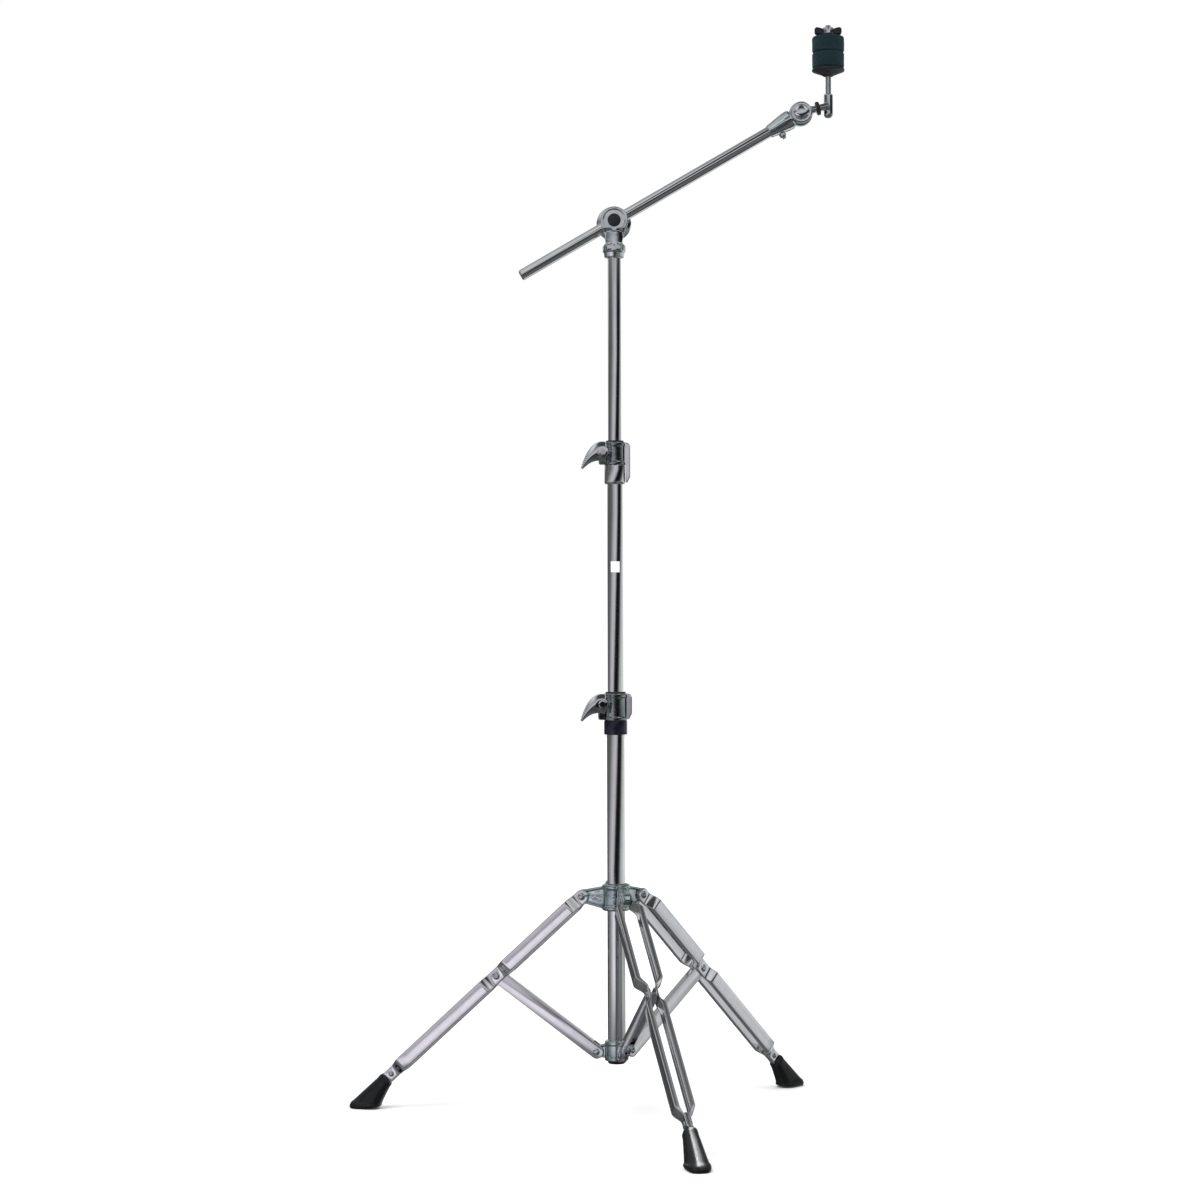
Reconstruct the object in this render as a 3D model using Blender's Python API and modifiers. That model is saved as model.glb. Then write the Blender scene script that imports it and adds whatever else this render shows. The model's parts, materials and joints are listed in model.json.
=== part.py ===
"""Cymbal boom stand: double-braced tripod, two-stage telescopic column and a tilting boom.

Units are metres, +Z is up and the feet stand on z = 0.
The column stands at (COLUMN_X, COLUMN_Y), so the origin is at the middle of the stand's footprint.
"""

from math import atan2, cos, hypot, pi, radians, sin

import bmesh
import bpy
from mathutils import Matrix

NAME = "cymbal_boom_stand"
GAP = 0.0003            # clearance between touching pieces
FINE, MEDIUM, SMALL = 20, 16, 12    # sides of large, middling and small round parts

# Column place and tubes
COLUMN_X = 0.0295
COLUMN_Y = 0.0494
BASE_TUBE_R = 0.0127
MIDDLE_TUBE_R = 0.0111
UPPER_TUBE_R = 0.00955
TUBE_WALL = 0.0012
BASE_TUBE_Z = (0.083, 0.566)
MIDDLE_TUBE_Z = (0.400, 0.935)
UPPER_TUBE_Z = (0.690, 1.246)

# Tripod
LEG_AZIMUTHS = {"front": radians(285), "right": radians(45), "left": radians(165)}
BOLT_AZIMUTH = radians(105)
LEG_SLOPE = radians(42.5)
LEG_PIVOT_R = 0.0495
LEG_PIVOT_Z = 0.316
BRACE_JOINT_R = 0.177
BRACE_PIVOT_R = 0.0286
BRACE_PIVOT_Z = 0.095
LEG_PIVOT_TO_BRACE = (BRACE_JOINT_R - LEG_PIVOT_R) / cos(LEG_SLOPE)
BRACE_JOINT_Z = LEG_PIVOT_Z - LEG_PIVOT_TO_BRACE * sin(LEG_SLOPE)
BRACE_LENGTH = hypot(BRACE_JOINT_R - BRACE_PIVOT_R, BRACE_JOINT_Z - BRACE_PIVOT_Z)
BRACE_SLOPE = atan2(BRACE_JOINT_Z - BRACE_PIVOT_Z, BRACE_JOINT_R - BRACE_PIVOT_R)

# Leg strips
STRIP_HALF_HEIGHT = 0.010
STRIP_SHEET = 0.0015
STRIP_END = 0.400
JOINT_SPREAD = 0.0057       # inner half gap where a strip lies against a hub ear or a brace
UPPER_SPREAD = 0.018
LOWER_SPREAD = 0.013
FOOT_SPREAD = 0.0031
JOG = 0.013
PLAIN_LIP = 0.0016
RIVET_R = 0.003
HOLE_R = RIVET_R + GAP
FOOT_RIVET_AT = 0.391
SHANK_X = (0.376, 0.434)
FOOT_TOP_AT = 0.402
SOLE_R = 0.3835

# Braces
BRACE_HALF_WIDTH = 0.005
BRACE_SHEET = 0.0014
BRACE_HALF_HEIGHT = 0.010
BRACE_OPEN_END = 0.014

# Hubs
LEG_HUB_Z = (0.297, 0.335)
LEG_HUB_R = 0.020
HUB_BUSH_R = 0.0156
EAR_HALF = 0.005
BRACE_HUB_Z = (0.0835, 0.112)
BRACE_HUB_R = 0.017
BRACE_EAR_HALF = 0.0033

# Clamps: height of the bottom of the collar, of the casting and of its top
CLAMP_1_Z = (0.548, 0.568, 0.607)
CLAMP_2_Z = (0.906, 0.933, 0.966)
CLAMP_BOLT_R = 0.0028

# Boom
BOOM_PIVOT_Z = 1.282
BOOM_ANGLE = radians(30)
BOOM_R = 0.0079
BOOM_TAIL = -0.1550
BOOM_CONE_START = 0.257
BOOM_CONE_END = 0.292
HEAD_AT = 0.310
CHEEK_INNER = 0.0118
CHEEK_OUTER = 0.0162
CHEEK_R = 0.0215
DISC_R = 0.0250

# Cymbal end, relative to the column axis
ROD_X = 0.308
ROD_R = 0.004
ROD_Z = (1.434, 1.5635)
HOLDER_Z = (1.430, 1.465)
HOLDER_R = 0.0066
SEAT_Z = (1.490, 1.5013)
FELT_R = 0.0233
FELT_Z = (1.5016, 1.5243, 1.5470)
WING_NUT_Z = (1.5474, 1.5606)

for old in list(bpy.data.objects):
    bpy.data.objects.remove(old, do_unlink=True)


def new_collection(name):
    made = bpy.data.collections.new(name)
    bpy.context.scene.collection.children.link(made)
    return made


PARTS = new_collection(NAME)
TOOLS = new_collection(NAME + "_cutters")


def make_material(name, colour, roughness, metallic):
    made = bpy.data.materials.new(name)
    made.use_nodes = True
    shader = made.node_tree.nodes["Principled BSDF"]
    shader.inputs["Base Color"].default_value = (*colour, 1.0)
    shader.inputs["Roughness"].default_value = roughness
    shader.inputs["Metallic"].default_value = metallic
    return made


FINISHES = {
    "chrome": ((0.80, 0.81, 0.82), 0.08, 1.0),
    "dark_chrome": ((0.34, 0.36, 0.38), 0.18, 1.0),
    "zinc": ((0.62, 0.63, 0.64), 0.32, 1.0),
    "black_rubber": ((0.02, 0.02, 0.022), 0.65, 0.0),
    "nylon": ((0.05, 0.06, 0.07), 0.45, 0.0),
    "navy_plastic": ((0.02, 0.02, 0.06), 0.35, 0.0),
    "felt": ((0.03, 0.06, 0.07), 0.95, 0.0),
}


def finish(piece, look, parent, location=(0, 0, 0), rotation=(0, 0, 0)):
    """Give a sub-part its own material, its parent and its place."""
    colour, roughness, metallic = FINISHES[look]
    piece.data.materials.append(make_material(piece.name, colour, roughness, metallic))
    piece.parent = parent
    piece.location = location
    piece.rotation_euler = rotation
    PARTS.objects.link(piece)
    return piece


def as_tool(piece, parent, location=(0, 0, 0), rotation=(0, 0, 0)):
    """Put a cutter or a shape to be joined in the cutters' collection."""
    piece.parent = parent
    piece.location = location
    piece.rotation_euler = rotation
    piece.hide_render = True
    piece.display_type = "WIRE"
    TOOLS.objects.link(piece)
    return piece


def empty(name, parent=None, location=(0, 0, 0), rotation=(0, 0, 0)):
    made = bpy.data.objects.new(name, None)
    made.empty_display_size = 0.02
    made.parent = parent
    made.location = location
    made.rotation_euler = rotation
    PARTS.objects.link(made)
    return made


def arc(centre, radius, start, end, count):
    """Points on an arc, angles in degrees."""
    turns = [radians(start + (end - start) * i / count) for i in range(count + 1)]
    return [(centre[0] + radius * cos(t), centre[1] + radius * sin(t)) for t in turns]


def turned(name, profile, sides=MEDIUM, ring=False):
    """Turn a profile of (radius, height) points about Z. A ring's profile is a closed loop."""
    mesh = bpy.data.meshes.new(name)
    count = len(profile)
    edges = [(i, i + 1) for i in range(count - 1)]
    if ring:
        edges.append((count - 1, 0))
    mesh.from_pydata([(r, 0, z) for r, z in profile], edges, [])
    piece = bpy.data.objects.new(name, mesh)
    screw = piece.modifiers.new("turn", "SCREW")
    screw.axis = "Z"
    screw.steps = sides
    screw.render_steps = sides
    screw.use_merge_vertices = True
    screw.merge_threshold = 0.00001
    screw.use_smooth_shade = True
    return piece


def sleeve(name, outer, inner, low, high, sides=MEDIUM):
    """A plain round sleeve along Z."""
    return turned(name, [(outer, high), (outer, low), (inner, low), (inner, high)], sides, True)


def shaft(name, steps, sides=SMALL):
    """A solid turned part along Z from (radius, height) points, top to bottom."""
    return turned(name, [(0, steps[0][1])] + list(steps) + [(0, steps[-1][1])], sides)


def block(name, size, centre=(0, 0, 0)):
    mesh = bpy.data.meshes.new(name)
    shape = bmesh.new()
    bmesh.ops.create_cube(shape, size=1.0)
    bmesh.ops.scale(shape, vec=size, verts=shape.verts)
    bmesh.ops.translate(shape, vec=centre, verts=shape.verts)
    shape.to_mesh(mesh)
    shape.free()
    return bpy.data.objects.new(name, mesh)


def plate(name, outline, thickness, upright=False):
    """A flat outline in XY, thickness along Z and centred on it; upright stands it in XZ."""
    curve = bpy.data.curves.new(name, "CURVE")
    curve.dimensions = "2D"
    curve.fill_mode = "BOTH"
    curve.extrude = thickness / 2
    spline = curve.splines.new("POLY")
    spline.points.add(len(outline) - 1)
    for point, (x, y) in zip(spline.points, outline):
        point.co = (x, y, 0, 1)
    spline.use_cyclic_u = True
    drawn = bpy.data.objects.new(name + "_outline", curve)
    bpy.context.scene.collection.objects.link(drawn)
    bpy.context.view_layer.update()
    ready = drawn.evaluated_get(bpy.context.evaluated_depsgraph_get())
    mesh = bpy.data.meshes.new_from_object(ready)
    mesh.name = name
    shape = bmesh.new()
    shape.from_mesh(mesh)
    bmesh.ops.remove_doubles(shape, verts=shape.verts, dist=0.00001)
    bmesh.ops.recalc_face_normals(shape, faces=shape.faces)
    if upright:
        bmesh.ops.rotate(shape, verts=shape.verts, matrix=Matrix.Rotation(pi / 2, 3, "X"))
    shape.to_mesh(mesh)
    shape.free()
    bpy.data.objects.remove(drawn, do_unlink=True)
    return bpy.data.objects.new(name, mesh)


def boolean(piece, tool, operation):
    step = piece.modifiers.new(operation.lower(), "BOOLEAN")
    step.operation = operation
    step.solver = "EXACT"
    step.object = tool


def cut(piece, tool):
    boolean(piece, tool, "DIFFERENCE")


def join(piece, tool):
    boolean(piece, tool, "UNION")


UPRIGHT = (pi / 2, 0, 0)    # turns a plate in XY up into XZ, facing -Y


def drill(piece, parent, radius, at, length, rotation=UPRIGHT, sides=SMALL):
    """A round hole, by default along Y."""
    tool = shaft(piece.name + "_drill", [(radius, length / 2), (radius, -length / 2)], sides)
    cut(piece, as_tool(tool, parent, at, rotation))


def rivet(name, shank, reach, head, rise, sides=SMALL):
    """A rivet along Z: a shank between two domed heads, whose inner faces lie at reach."""
    dome = [(head * 0.55, rise), (head * 0.9, rise * 0.55), (head, 0)]
    top = [(r, reach + z) for r, z in dome] + [(shank, reach)]
    low = [(r, -z) for r, z in reversed(top)]
    return shaft(name, top + low, sides)


def wing(name, span, root, tip, height, thickness):
    """A pair of thumb wings in XY: root half width, tip half width and height along Y."""
    half = span / 2
    right = [(half, height * 0.35), (half, height - tip)]
    right += arc((half - tip, height - tip), tip, 0, 90, 4)[1:] + [(root, height * 0.45)]
    low = [(half * 0.62, 0)]
    outline = low + right + [(-x, y) for x, y in reversed(right)] + [(-x, y) for x, y in low]
    return plate(name, outline, thickness)


COLUMN = empty("column_axis", None, (COLUMN_X, COLUMN_Y, 0))


# ---------------------------------------------------------------- base tube and hubs

def tube(name, radius, span, parent):
    piece = sleeve(name, radius, radius - TUBE_WALL, span[0], span[1], FINE)
    return finish(piece, "chrome", parent)


def base_column():
    tube("base_tube", BASE_TUBE_R, BASE_TUBE_Z, COLUMN)
    low = BASE_TUBE_Z[0]
    plug = BASE_TUBE_R - TUBE_WALL - GAP
    cap = shaft("tube_end_cap", [(plug - 0.001, low + 0.011), (plug, low + 0.009), (plug, low - GAP),
                                 (BASE_TUBE_R, low - GAP), (BASE_TUBE_R, low - 0.0025),
                                 (BASE_TUBE_R - 0.0015, low - 0.004)], FINE)
    finish(cap, "black_rubber", COLUMN)


def ear_outline(start, pivot_x, pivot_z, radius, top, low):
    """A hub ear in its radial plane: from the sleeve out to a rounded end about the pivot."""
    return [(start, low), (start, top)] + arc((pivot_x, pivot_z), radius, 75, -100, 7)


def add_ears(hub, outline, half, pivot, hole):
    """Join three ears to a hub and drill their rivet holes."""
    for side, azimuth in LEG_AZIMUTHS.items():
        turn = (pi / 2, 0, azimuth)
        ear = plate(f"{hub.name}_ear_{side}", outline, 2 * half)
        join(hub, as_tool(ear, COLUMN, (0, 0, 0), turn))
        at = (pivot[0] * cos(azimuth), pivot[0] * sin(azimuth), pivot[1])
        drill(hub, COLUMN, hole, at, 4 * half, turn)


def radial(azimuth, distance, height):
    return (distance * cos(azimuth), distance * sin(azimuth), height)


def brace_hub():
    bore = BASE_TUBE_R + GAP
    low, high = BRACE_HUB_Z
    hub = turned("brace_hub", [(BRACE_HUB_R - 0.001, high), (BRACE_HUB_R, high - 0.001),
                               (BRACE_HUB_R, low + 0.001), (BRACE_HUB_R - 0.001, low),
                               (bore, low), (bore, high)], FINE, True)
    outline = ear_outline(0.0145, BRACE_PIVOT_R, BRACE_PIVOT_Z, 0.0080, 0.108, 0.0865)
    add_ears(hub, outline, BRACE_EAR_HALF, (BRACE_PIVOT_R, BRACE_PIVOT_Z), HOLE_R)
    face_bolt = (0, pi / 2, BOLT_AZIMUTH)
    middle = (low + high) / 2
    drill(hub, COLUMN, 0.0024, radial(BOLT_AZIMUTH, BRACE_HUB_R, middle), 0.012, face_bolt, SMALL)
    finish(hub, "zinc", COLUMN)
    screw = shaft("brace_hub_screw", [(0.0024, 0.0195), (0.0040, 0.0182), (0.0042, 0.0173),
                                      (0.0021, 0.0173), (0.0021, 0.0131)], SMALL)
    finish(screw, "zinc", COLUMN, (0, 0, middle), face_bolt)


def leg_hub():
    """The sliding hub: its bush and wing bolt move with it."""
    low, high = LEG_HUB_Z
    carrier = empty("leg_hub_slide", COLUMN, (0, 0, 0))
    bore = HUB_BUSH_R + GAP
    hub = turned("leg_hub", [(LEG_HUB_R - 0.002, high), (LEG_HUB_R, high - 0.002),
                             (LEG_HUB_R, low + 0.002), (LEG_HUB_R - 0.002, low),
                             (bore, low), (bore, high)], FINE, True)
    outline = ear_outline(0.0175, LEG_PIVOT_R, LEG_PIVOT_Z, 0.0095, 0.332, 0.2985)
    outline.insert(2, (0.033, 0.3315))
    outline.append((0.034, 0.3015))
    add_ears(hub, outline, EAR_HALF, (LEG_PIVOT_R, LEG_PIVOT_Z), HOLE_R)
    face_bolt = (0, pi / 2, BOLT_AZIMUTH)
    middle = (low + high) / 2
    boss = shaft("leg_hub_boss", [(0.0085, 0.030), (0.0095, 0.029), (0.0095, 0.0178)], MEDIUM)
    join(hub, as_tool(boss, COLUMN, (0, 0, middle), face_bolt))
    drill(hub, COLUMN, 0.0043, radial(BOLT_AZIMUTH, 0.024, middle), 0.020, face_bolt, SMALL)
    finish(hub, "zinc", carrier)
    bush = sleeve("leg_hub_bush", HUB_BUSH_R, BASE_TUBE_R + GAP, low, high, FINE)
    finish(bush, "nylon", carrier)
    bolt_frame = empty("leg_hub_bolt_axis", carrier, (0, 0, middle), face_bolt)
    bolt = shaft("leg_hub_wing_bolt", [(0.0030, 0.0420), (0.0072, 0.0415), (0.0080, 0.0330),
                                       (0.0060, 0.0303), (0.0040, 0.0303), (0.0040, 0.0160)], SMALL)
    wings = wing("leg_hub_bolt_wings", 0.040, 0.004, 0.004, 0.017, 0.005)
    join(bolt, as_tool(wings, bolt_frame, (0, 0, 0.0335), UPRIGHT))
    finish(bolt, "chrome", bolt_frame)
    return carrier


# ---------------------------------------------------------------- legs

def strip_path():
    """(distance, inner half gap, lip depth, half height) along a leg strip."""
    round_end = [(-STRIP_HALF_HEIGHT * cos(t), STRIP_HALF_HEIGHT * sin(t))
                 for t in (radians(20), radians(45), radians(68))]
    path = [(x, JOINT_SPREAD, PLAIN_LIP, h) for x, h in round_end]
    full = STRIP_HALF_HEIGHT
    brace = LEG_PIVOT_TO_BRACE
    path += [(0, JOINT_SPREAD, PLAIN_LIP, full), (0.009, JOINT_SPREAD, PLAIN_LIP, full),
             (0.009 + JOG, UPPER_SPREAD, 0.007, full),
             (brace - 0.010 - JOG, UPPER_SPREAD, 0.007, full),
             (brace - 0.010, JOINT_SPREAD, PLAIN_LIP, full),
             (brace + 0.010, JOINT_SPREAD, PLAIN_LIP, full),
             (brace + 0.010 + JOG, LOWER_SPREAD, 0.005, full),
             (0.370, LOWER_SPREAD, 0.005, full), (0.383, FOOT_SPREAD, PLAIN_LIP, 0.0090),
             (STRIP_END, FOOT_SPREAD, PLAIN_LIP, 0.0086)]
    return path


def leg_strip(name, side, pivot):
    """One pressed channel strip of a leg, lips turned in. side is +1 or -1 along local Y."""
    mesh = bpy.data.meshes.new(name)
    shape = bmesh.new()
    rows = []
    for x, gap, lip, half in strip_path():
        outer = gap + STRIP_SHEET
        corners = [(outer - lip, half), (outer, half), (outer, -half), (outer - lip, -half)]
        rows.append([shape.verts.new((x, side * y, z)) for y, z in corners])
    for first, second in zip(rows, rows[1:]):
        for i in range(3):
            ring = [first[i], second[i], second[i + 1], first[i + 1]]
            shape.faces.new(ring if side > 0 else ring[::-1])
    shape.to_mesh(mesh)
    shape.free()
    strip = bpy.data.objects.new(name, mesh)
    wall = strip.modifiers.new("sheet", "SOLIDIFY")
    wall.thickness = STRIP_SHEET
    wall.offset = -1
    wall.use_even_offset = True
    drill(strip, pivot, HOLE_R, (0, side * (JOINT_SPREAD + 0.001), 0), 0.006, UPRIGHT, SMALL)
    drill(strip, pivot, 0.0028, (FOOT_RIVET_AT, side * (FOOT_SPREAD + 0.001), 0), 0.004, UPRIGHT, SMALL)
    outer = JOINT_SPREAD + STRIP_SHEET
    head = shaft(name + "_rivet_head", [(0.0030, 0.0022), (0.0050, 0.0013), (0.0055, 0),
                                        (0.0055, -0.0004)], SMALL)
    turn = (-side * pi / 2, 0, 0)
    join(strip, as_tool(head, pivot, (LEG_PIVOT_TO_BRACE, side * outer, 0), turn))
    return finish(strip, "chrome", pivot)


def rounded_loop(half_u, half_v, corner, count=3):
    """Points of a rounded rectangle, counter-clockwise."""
    points = []
    quarters = [(1, 1, 0), (-1, 1, 90), (-1, -1, 180), (1, -1, 270)]
    for su, sv, start in quarters:
        centre = (su * (half_u - corner), sv * (half_v - corner))
        points += arc(centre, corner, start, start + 90, count)
    return points


def rubber_foot(name):
    """A rubber boot lofted from the leg's section to a flat sole. Origin at the leg pivot, X out, Z up."""
    top = (LEG_PIVOT_R + FOOT_TOP_AT * cos(LEG_SLOPE), LEG_PIVOT_Z - FOOT_TOP_AT * sin(LEG_SLOPE))
    normal = (sin(LEG_SLOPE), cos(LEG_SLOPE))
    # (share of the way down, along-leg half size, cross half size, corner radius)
    levels = [(0.0, 0.0092, 0.0085, 0.0040), (0.04, 0.0108, 0.0100, 0.0050),
              (0.50, 0.0150, 0.0122, 0.0060), (0.80, 0.0205, 0.0142, 0.0080),
              (0.85, 0.0222, 0.0158, 0.0090), (0.92, 0.0218, 0.0156, 0.0090),
              (1.0, 0.0172, 0.0128, 0.0090)]
    mesh = bpy.data.meshes.new(name)
    shape = bmesh.new()
    loops = []
    for share, half_u, half_v, corner in levels:
        centre_r = top[0] + (SOLE_R - top[0]) * share
        centre_z = top[1] * (1 - share)
        across = (normal[0] + (1 - normal[0]) * share, normal[1] * (1 - share))
        size = hypot(*across)
        loop = []
        for u, v in rounded_loop(half_u, half_v, corner):
            r = centre_r + u * across[0] / size
            z = centre_z + u * across[1] / size
            loop.append(shape.verts.new((r - LEG_PIVOT_R, v, z - LEG_PIVOT_Z)))
        loops.append(loop)
    count = len(loops[0])
    for upper, lower in zip(loops, loops[1:]):
        for i in range(count):
            j = (i + 1) % count
            shape.faces.new([upper[i], lower[i], lower[j], upper[j]])
    shape.faces.new(loops[0])
    shape.faces.new(loops[-1][::-1])
    bmesh.ops.recalc_face_normals(shape, faces=shape.faces)
    shape.to_mesh(mesh)
    shape.free()
    mesh.shade_smooth()
    mesh.set_sharp_from_angle(angle=radians(40))
    return bpy.data.objects.new(name, mesh)


def leg(side, azimuth, carrier):
    place = radial(azimuth, LEG_PIVOT_R, LEG_PIVOT_Z)
    pivot = empty(f"leg_pivot_{side}", carrier, place, (0, LEG_SLOPE, azimuth))
    leg_strip(f"leg_{side}_strip_a", 1, pivot)
    leg_strip(f"leg_{side}_strip_b", -1, pivot)
    reach = JOINT_SPREAD + STRIP_SHEET + GAP
    hub_rivet = rivet(f"leg_{side}_hub_rivet", RIVET_R, reach, 0.0055, 0.0022)
    finish(hub_rivet, "chrome", pivot, (0, 0, 0), UPRIGHT)
    shank = block(f"leg_{side}_foot_shank", (SHANK_X[1] - SHANK_X[0], 0.0052, 0.0165), (sum(SHANK_X) / 2, 0, 0))
    pin = rivet(f"foot_rivet_{side}", 0.0025, FOOT_SPREAD + STRIP_SHEET + GAP, 0.0042, 0.0016, SMALL)
    join(shank, as_tool(pin, pivot, (FOOT_RIVET_AT, 0, 0), UPRIGHT))
    finish(shank, "chrome", pivot)
    level = empty(f"foot_frame_{side}", pivot, (0, 0, 0), (0, -LEG_SLOPE, 0))
    foot = rubber_foot(f"leg_{side}_rubber_foot")
    socket = block(f"foot_socket_{side}", (0.038, 0.0058, 0.0171), (0.0190 + 0.3975, 0, 0))
    cut(foot, as_tool(socket, pivot))
    finish(foot, "black_rubber", level)


def brace(side, azimuth):
    place = radial(azimuth, BRACE_PIVOT_R, BRACE_PIVOT_Z)
    pivot = empty(f"brace_pivot_{side}", COLUMN, place, (0, -BRACE_SLOPE, azimuth))
    radius = BRACE_HALF_HEIGHT
    outline = arc((0, 0), radius, 90, 270, 8) + arc((BRACE_LENGTH, 0), radius, -90, 90, 8)
    name = f"brace_{side}"
    flat = plate(name, outline, 2 * BRACE_HALF_WIDTH, upright=True)
    inner = 2 * (BRACE_HALF_WIDTH - BRACE_SHEET)
    full = BRACE_LENGTH + 4 * radius
    web = BRACE_HALF_HEIGHT - BRACE_SHEET
    trough = block(name + "_trough", (full, inner, 2 * radius),
                   (BRACE_LENGTH / 2, 0, web - radius))
    cut(flat, as_tool(trough, pivot))
    for index, x in enumerate((BRACE_OPEN_END - 0.02, BRACE_LENGTH - BRACE_OPEN_END + 0.02)):
        opening = block(f"{name}_open_{index}", (0.04, inner, 3 * radius), (x, 0, 0))
        cut(flat, as_tool(opening, pivot))
    drill(flat, pivot, HOLE_R, (0, 0, 0), 0.014, UPRIGHT, SMALL)
    finish(flat, "chrome", pivot)
    pin = rivet(name + "_rivet", RIVET_R, BRACE_HALF_WIDTH + GAP, 0.0050, 0.0018)
    finish(pin, "chrome", pivot, (0, 0, 0), UPRIGHT)


# ---------------------------------------------------------------- height clamps

def bend(start, control, end, count=6):
    """Points on a quadratic curve from start to end."""
    points = []
    for i in range(count + 1):
        t = i / count
        a, b, c = (1 - t) ** 2, 2 * t * (1 - t), t * t
        points.append(tuple(a * p + b * q + c * r for p, q, r in zip(start, control, end)))
    return points


def fin_lever(name, parent, place):
    """A lever nut with one swept fin, on a bolt along Y that ends inside it."""
    tip = (-0.0303, -0.0234)
    outline = bend((0.0045, 0.0140), (-0.0190, 0.0190), tip, 8)
    outline += bend((-0.0292, -0.0242), (-0.0140, -0.0085), (0.0030, -0.0136), 6)
    outline += arc((-0.0005, 0), 0.0085, -50, 50, 4)
    axis = empty(name + "_axis", parent, place)
    lever = plate(name, outline, 0.0066, upright=True)
    lever.data.transform(Matrix.Translation((0, -0.0207, 0)))
    boss = shaft(name + "_boss", [(0.0055, 0.0245), (0.0062, 0.0238), (0.0062, 0.0113)], MEDIUM)
    join(lever, as_tool(boss, axis, (0, 0, 0), UPRIGHT))
    hole = shaft(name + "_hole", [(CLAMP_BOLT_R + GAP, 0.0225), (CLAMP_BOLT_R + GAP, 0.0100)], SMALL)
    cut(lever, as_tool(hole, axis, (0, 0, 0), UPRIGHT))
    finish(lever, "chrome", axis)


def clamp(number, parent, levels, outer_r, bush_r, tube_r, seat_tube, rib_low, dark_collar):
    """A split clamp on top of one tube (seat_tube: radius, top) that grips the next tube up."""
    low, middle, high = levels
    name = f"clamp_{number}"
    bore = bush_r + GAP
    seat = seat_tube[0] + GAP
    step = seat_tube[1] + GAP
    neck = outer_r - 0.0018
    body = turned(name + "_body", [(outer_r - 0.001, high), (outer_r, high - 0.001), (outer_r, middle),
                                   (neck, middle), (neck, low + 0.001), (seat, low + 0.001),
                                   (seat, step), (bore, step), (bore, high)], FINE, True)
    bolt_x = -(bore + 0.0052)
    ear_top = high - 0.004
    ears = block(name + "_ears", (0.0125, 0.0214, ear_top - middle - 0.001),
                 (bolt_x, 0, (ear_top + middle + 0.001) / 2))
    join(body, as_tool(ears, parent))
    inner = outer_r - 0.003
    face = outer_r + 0.0004
    back = [(inner, high - 0.0005), (inner, middle + 0.0005), (face, middle + 0.0005)]
    back += [(face, rib_low), (outer_r + 0.0035, rib_low), (outer_r + 0.0072, rib_low + 0.008)]
    back += arc((outer_r + 0.0002, high - 0.0075), 0.0070, 0, 90, 5)
    join(body, as_tool(plate(name + "_rib", back, 0.007, upright=True), parent))
    slit_height = high - middle + 0.008
    slit = block(name + "_slit", (0.020, 0.0026, slit_height),
                 (-(bore + 0.0080), 0, middle + 0.002 + slit_height / 2))
    cut(body, as_tool(slit, parent))
    height = high - middle + 0.010
    drill(body, parent, bore - 0.00005, (0, 0, middle - 0.0005 + height / 2), height, (0, 0, 0), FINE)
    hole_z = high - 0.0155
    drill(body, parent, CLAMP_BOLT_R + GAP, (bolt_x, 0, hole_z), 0.05, UPRIGHT, SMALL)
    finish(body, "dark_chrome", parent)

    bolt = shaft(name + "_bolt", [(CLAMP_BOLT_R - 0.0004, 0.0222), (CLAMP_BOLT_R, 0.0216),
                                  (CLAMP_BOLT_R, -0.0110), (0.0056, -0.0110), (0.0056, -0.0145),
                                  (0.0050, -0.0150)], SMALL)
    finish(bolt, "zinc", parent, (bolt_x, 0, hole_z), UPRIGHT)
    fin_lever(name + "_fin_lever", parent, (bolt_x, 0, hole_z))

    if dark_collar:
        ring = [(outer_r, middle - GAP), (outer_r, low), (neck + GAP, low), (neck + GAP, middle - GAP)]
    else:
        ring = [(outer_r, middle - GAP), (outer_r, low + 0.012), (outer_r - 0.0009, low),
                (neck + GAP, low), (neck + GAP, middle - GAP)]
    collar = turned(name + "_collar", ring, FINE, True)
    finish(collar, "navy_plastic" if dark_collar else "chrome", parent)

    swivel = empty(name + "_swivel", parent)
    inside = tube_r + GAP
    lip = bush_r + 0.0012
    bush = turned(name + "_bush", [(lip, high + 0.0018), (lip, high + GAP), (bush_r, high + GAP),
                                   (bush_r, step + GAP), (inside, step + GAP),
                                   (inside, high + 0.0018)], FINE, True)
    finish(bush, "nylon", swivel)
    return swivel


# ---------------------------------------------------------------- boom holder

def yoke(parent):
    """The socket on the column's top with the two cheeks that carry the boom."""
    top = UPPER_TUBE_Z[1]
    bore = UPPER_TUBE_R + GAP
    piece = shaft("boom_yoke", [(0.0115, top + 0.006), (0.0165, top), (0.0165, top - 0.0075),
                                (0.0135, top - 0.016), (bore, top - 0.016), (bore, top + GAP)], FINE)
    outline = arc((0, 0), CHEEK_R, -28, 208, 14) + [(-0.0115, -0.034), (-0.0100, -0.0425),
                                                    (0.0100, -0.0425), (0.0115, -0.034)]
    depth = CHEEK_OUTER - CHEEK_INNER
    for side in (-1, 1):
        cheek = plate(f"yoke_cheek_{side + 1}", outline, depth, upright=True)
        at = (0, side * (CHEEK_INNER + depth / 2), BOOM_PIVOT_Z)
        join(piece, as_tool(cheek, parent, at))
    bore_tool = shaft("yoke_bore", [(bore, top + GAP), (bore, top - 0.030)], FINE)
    cut(piece, as_tool(bore_tool, parent))
    drill(piece, parent, 0.0043, (0, 0, BOOM_PIVOT_Z), 0.06)
    finish(piece, "chrome", parent)


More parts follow.
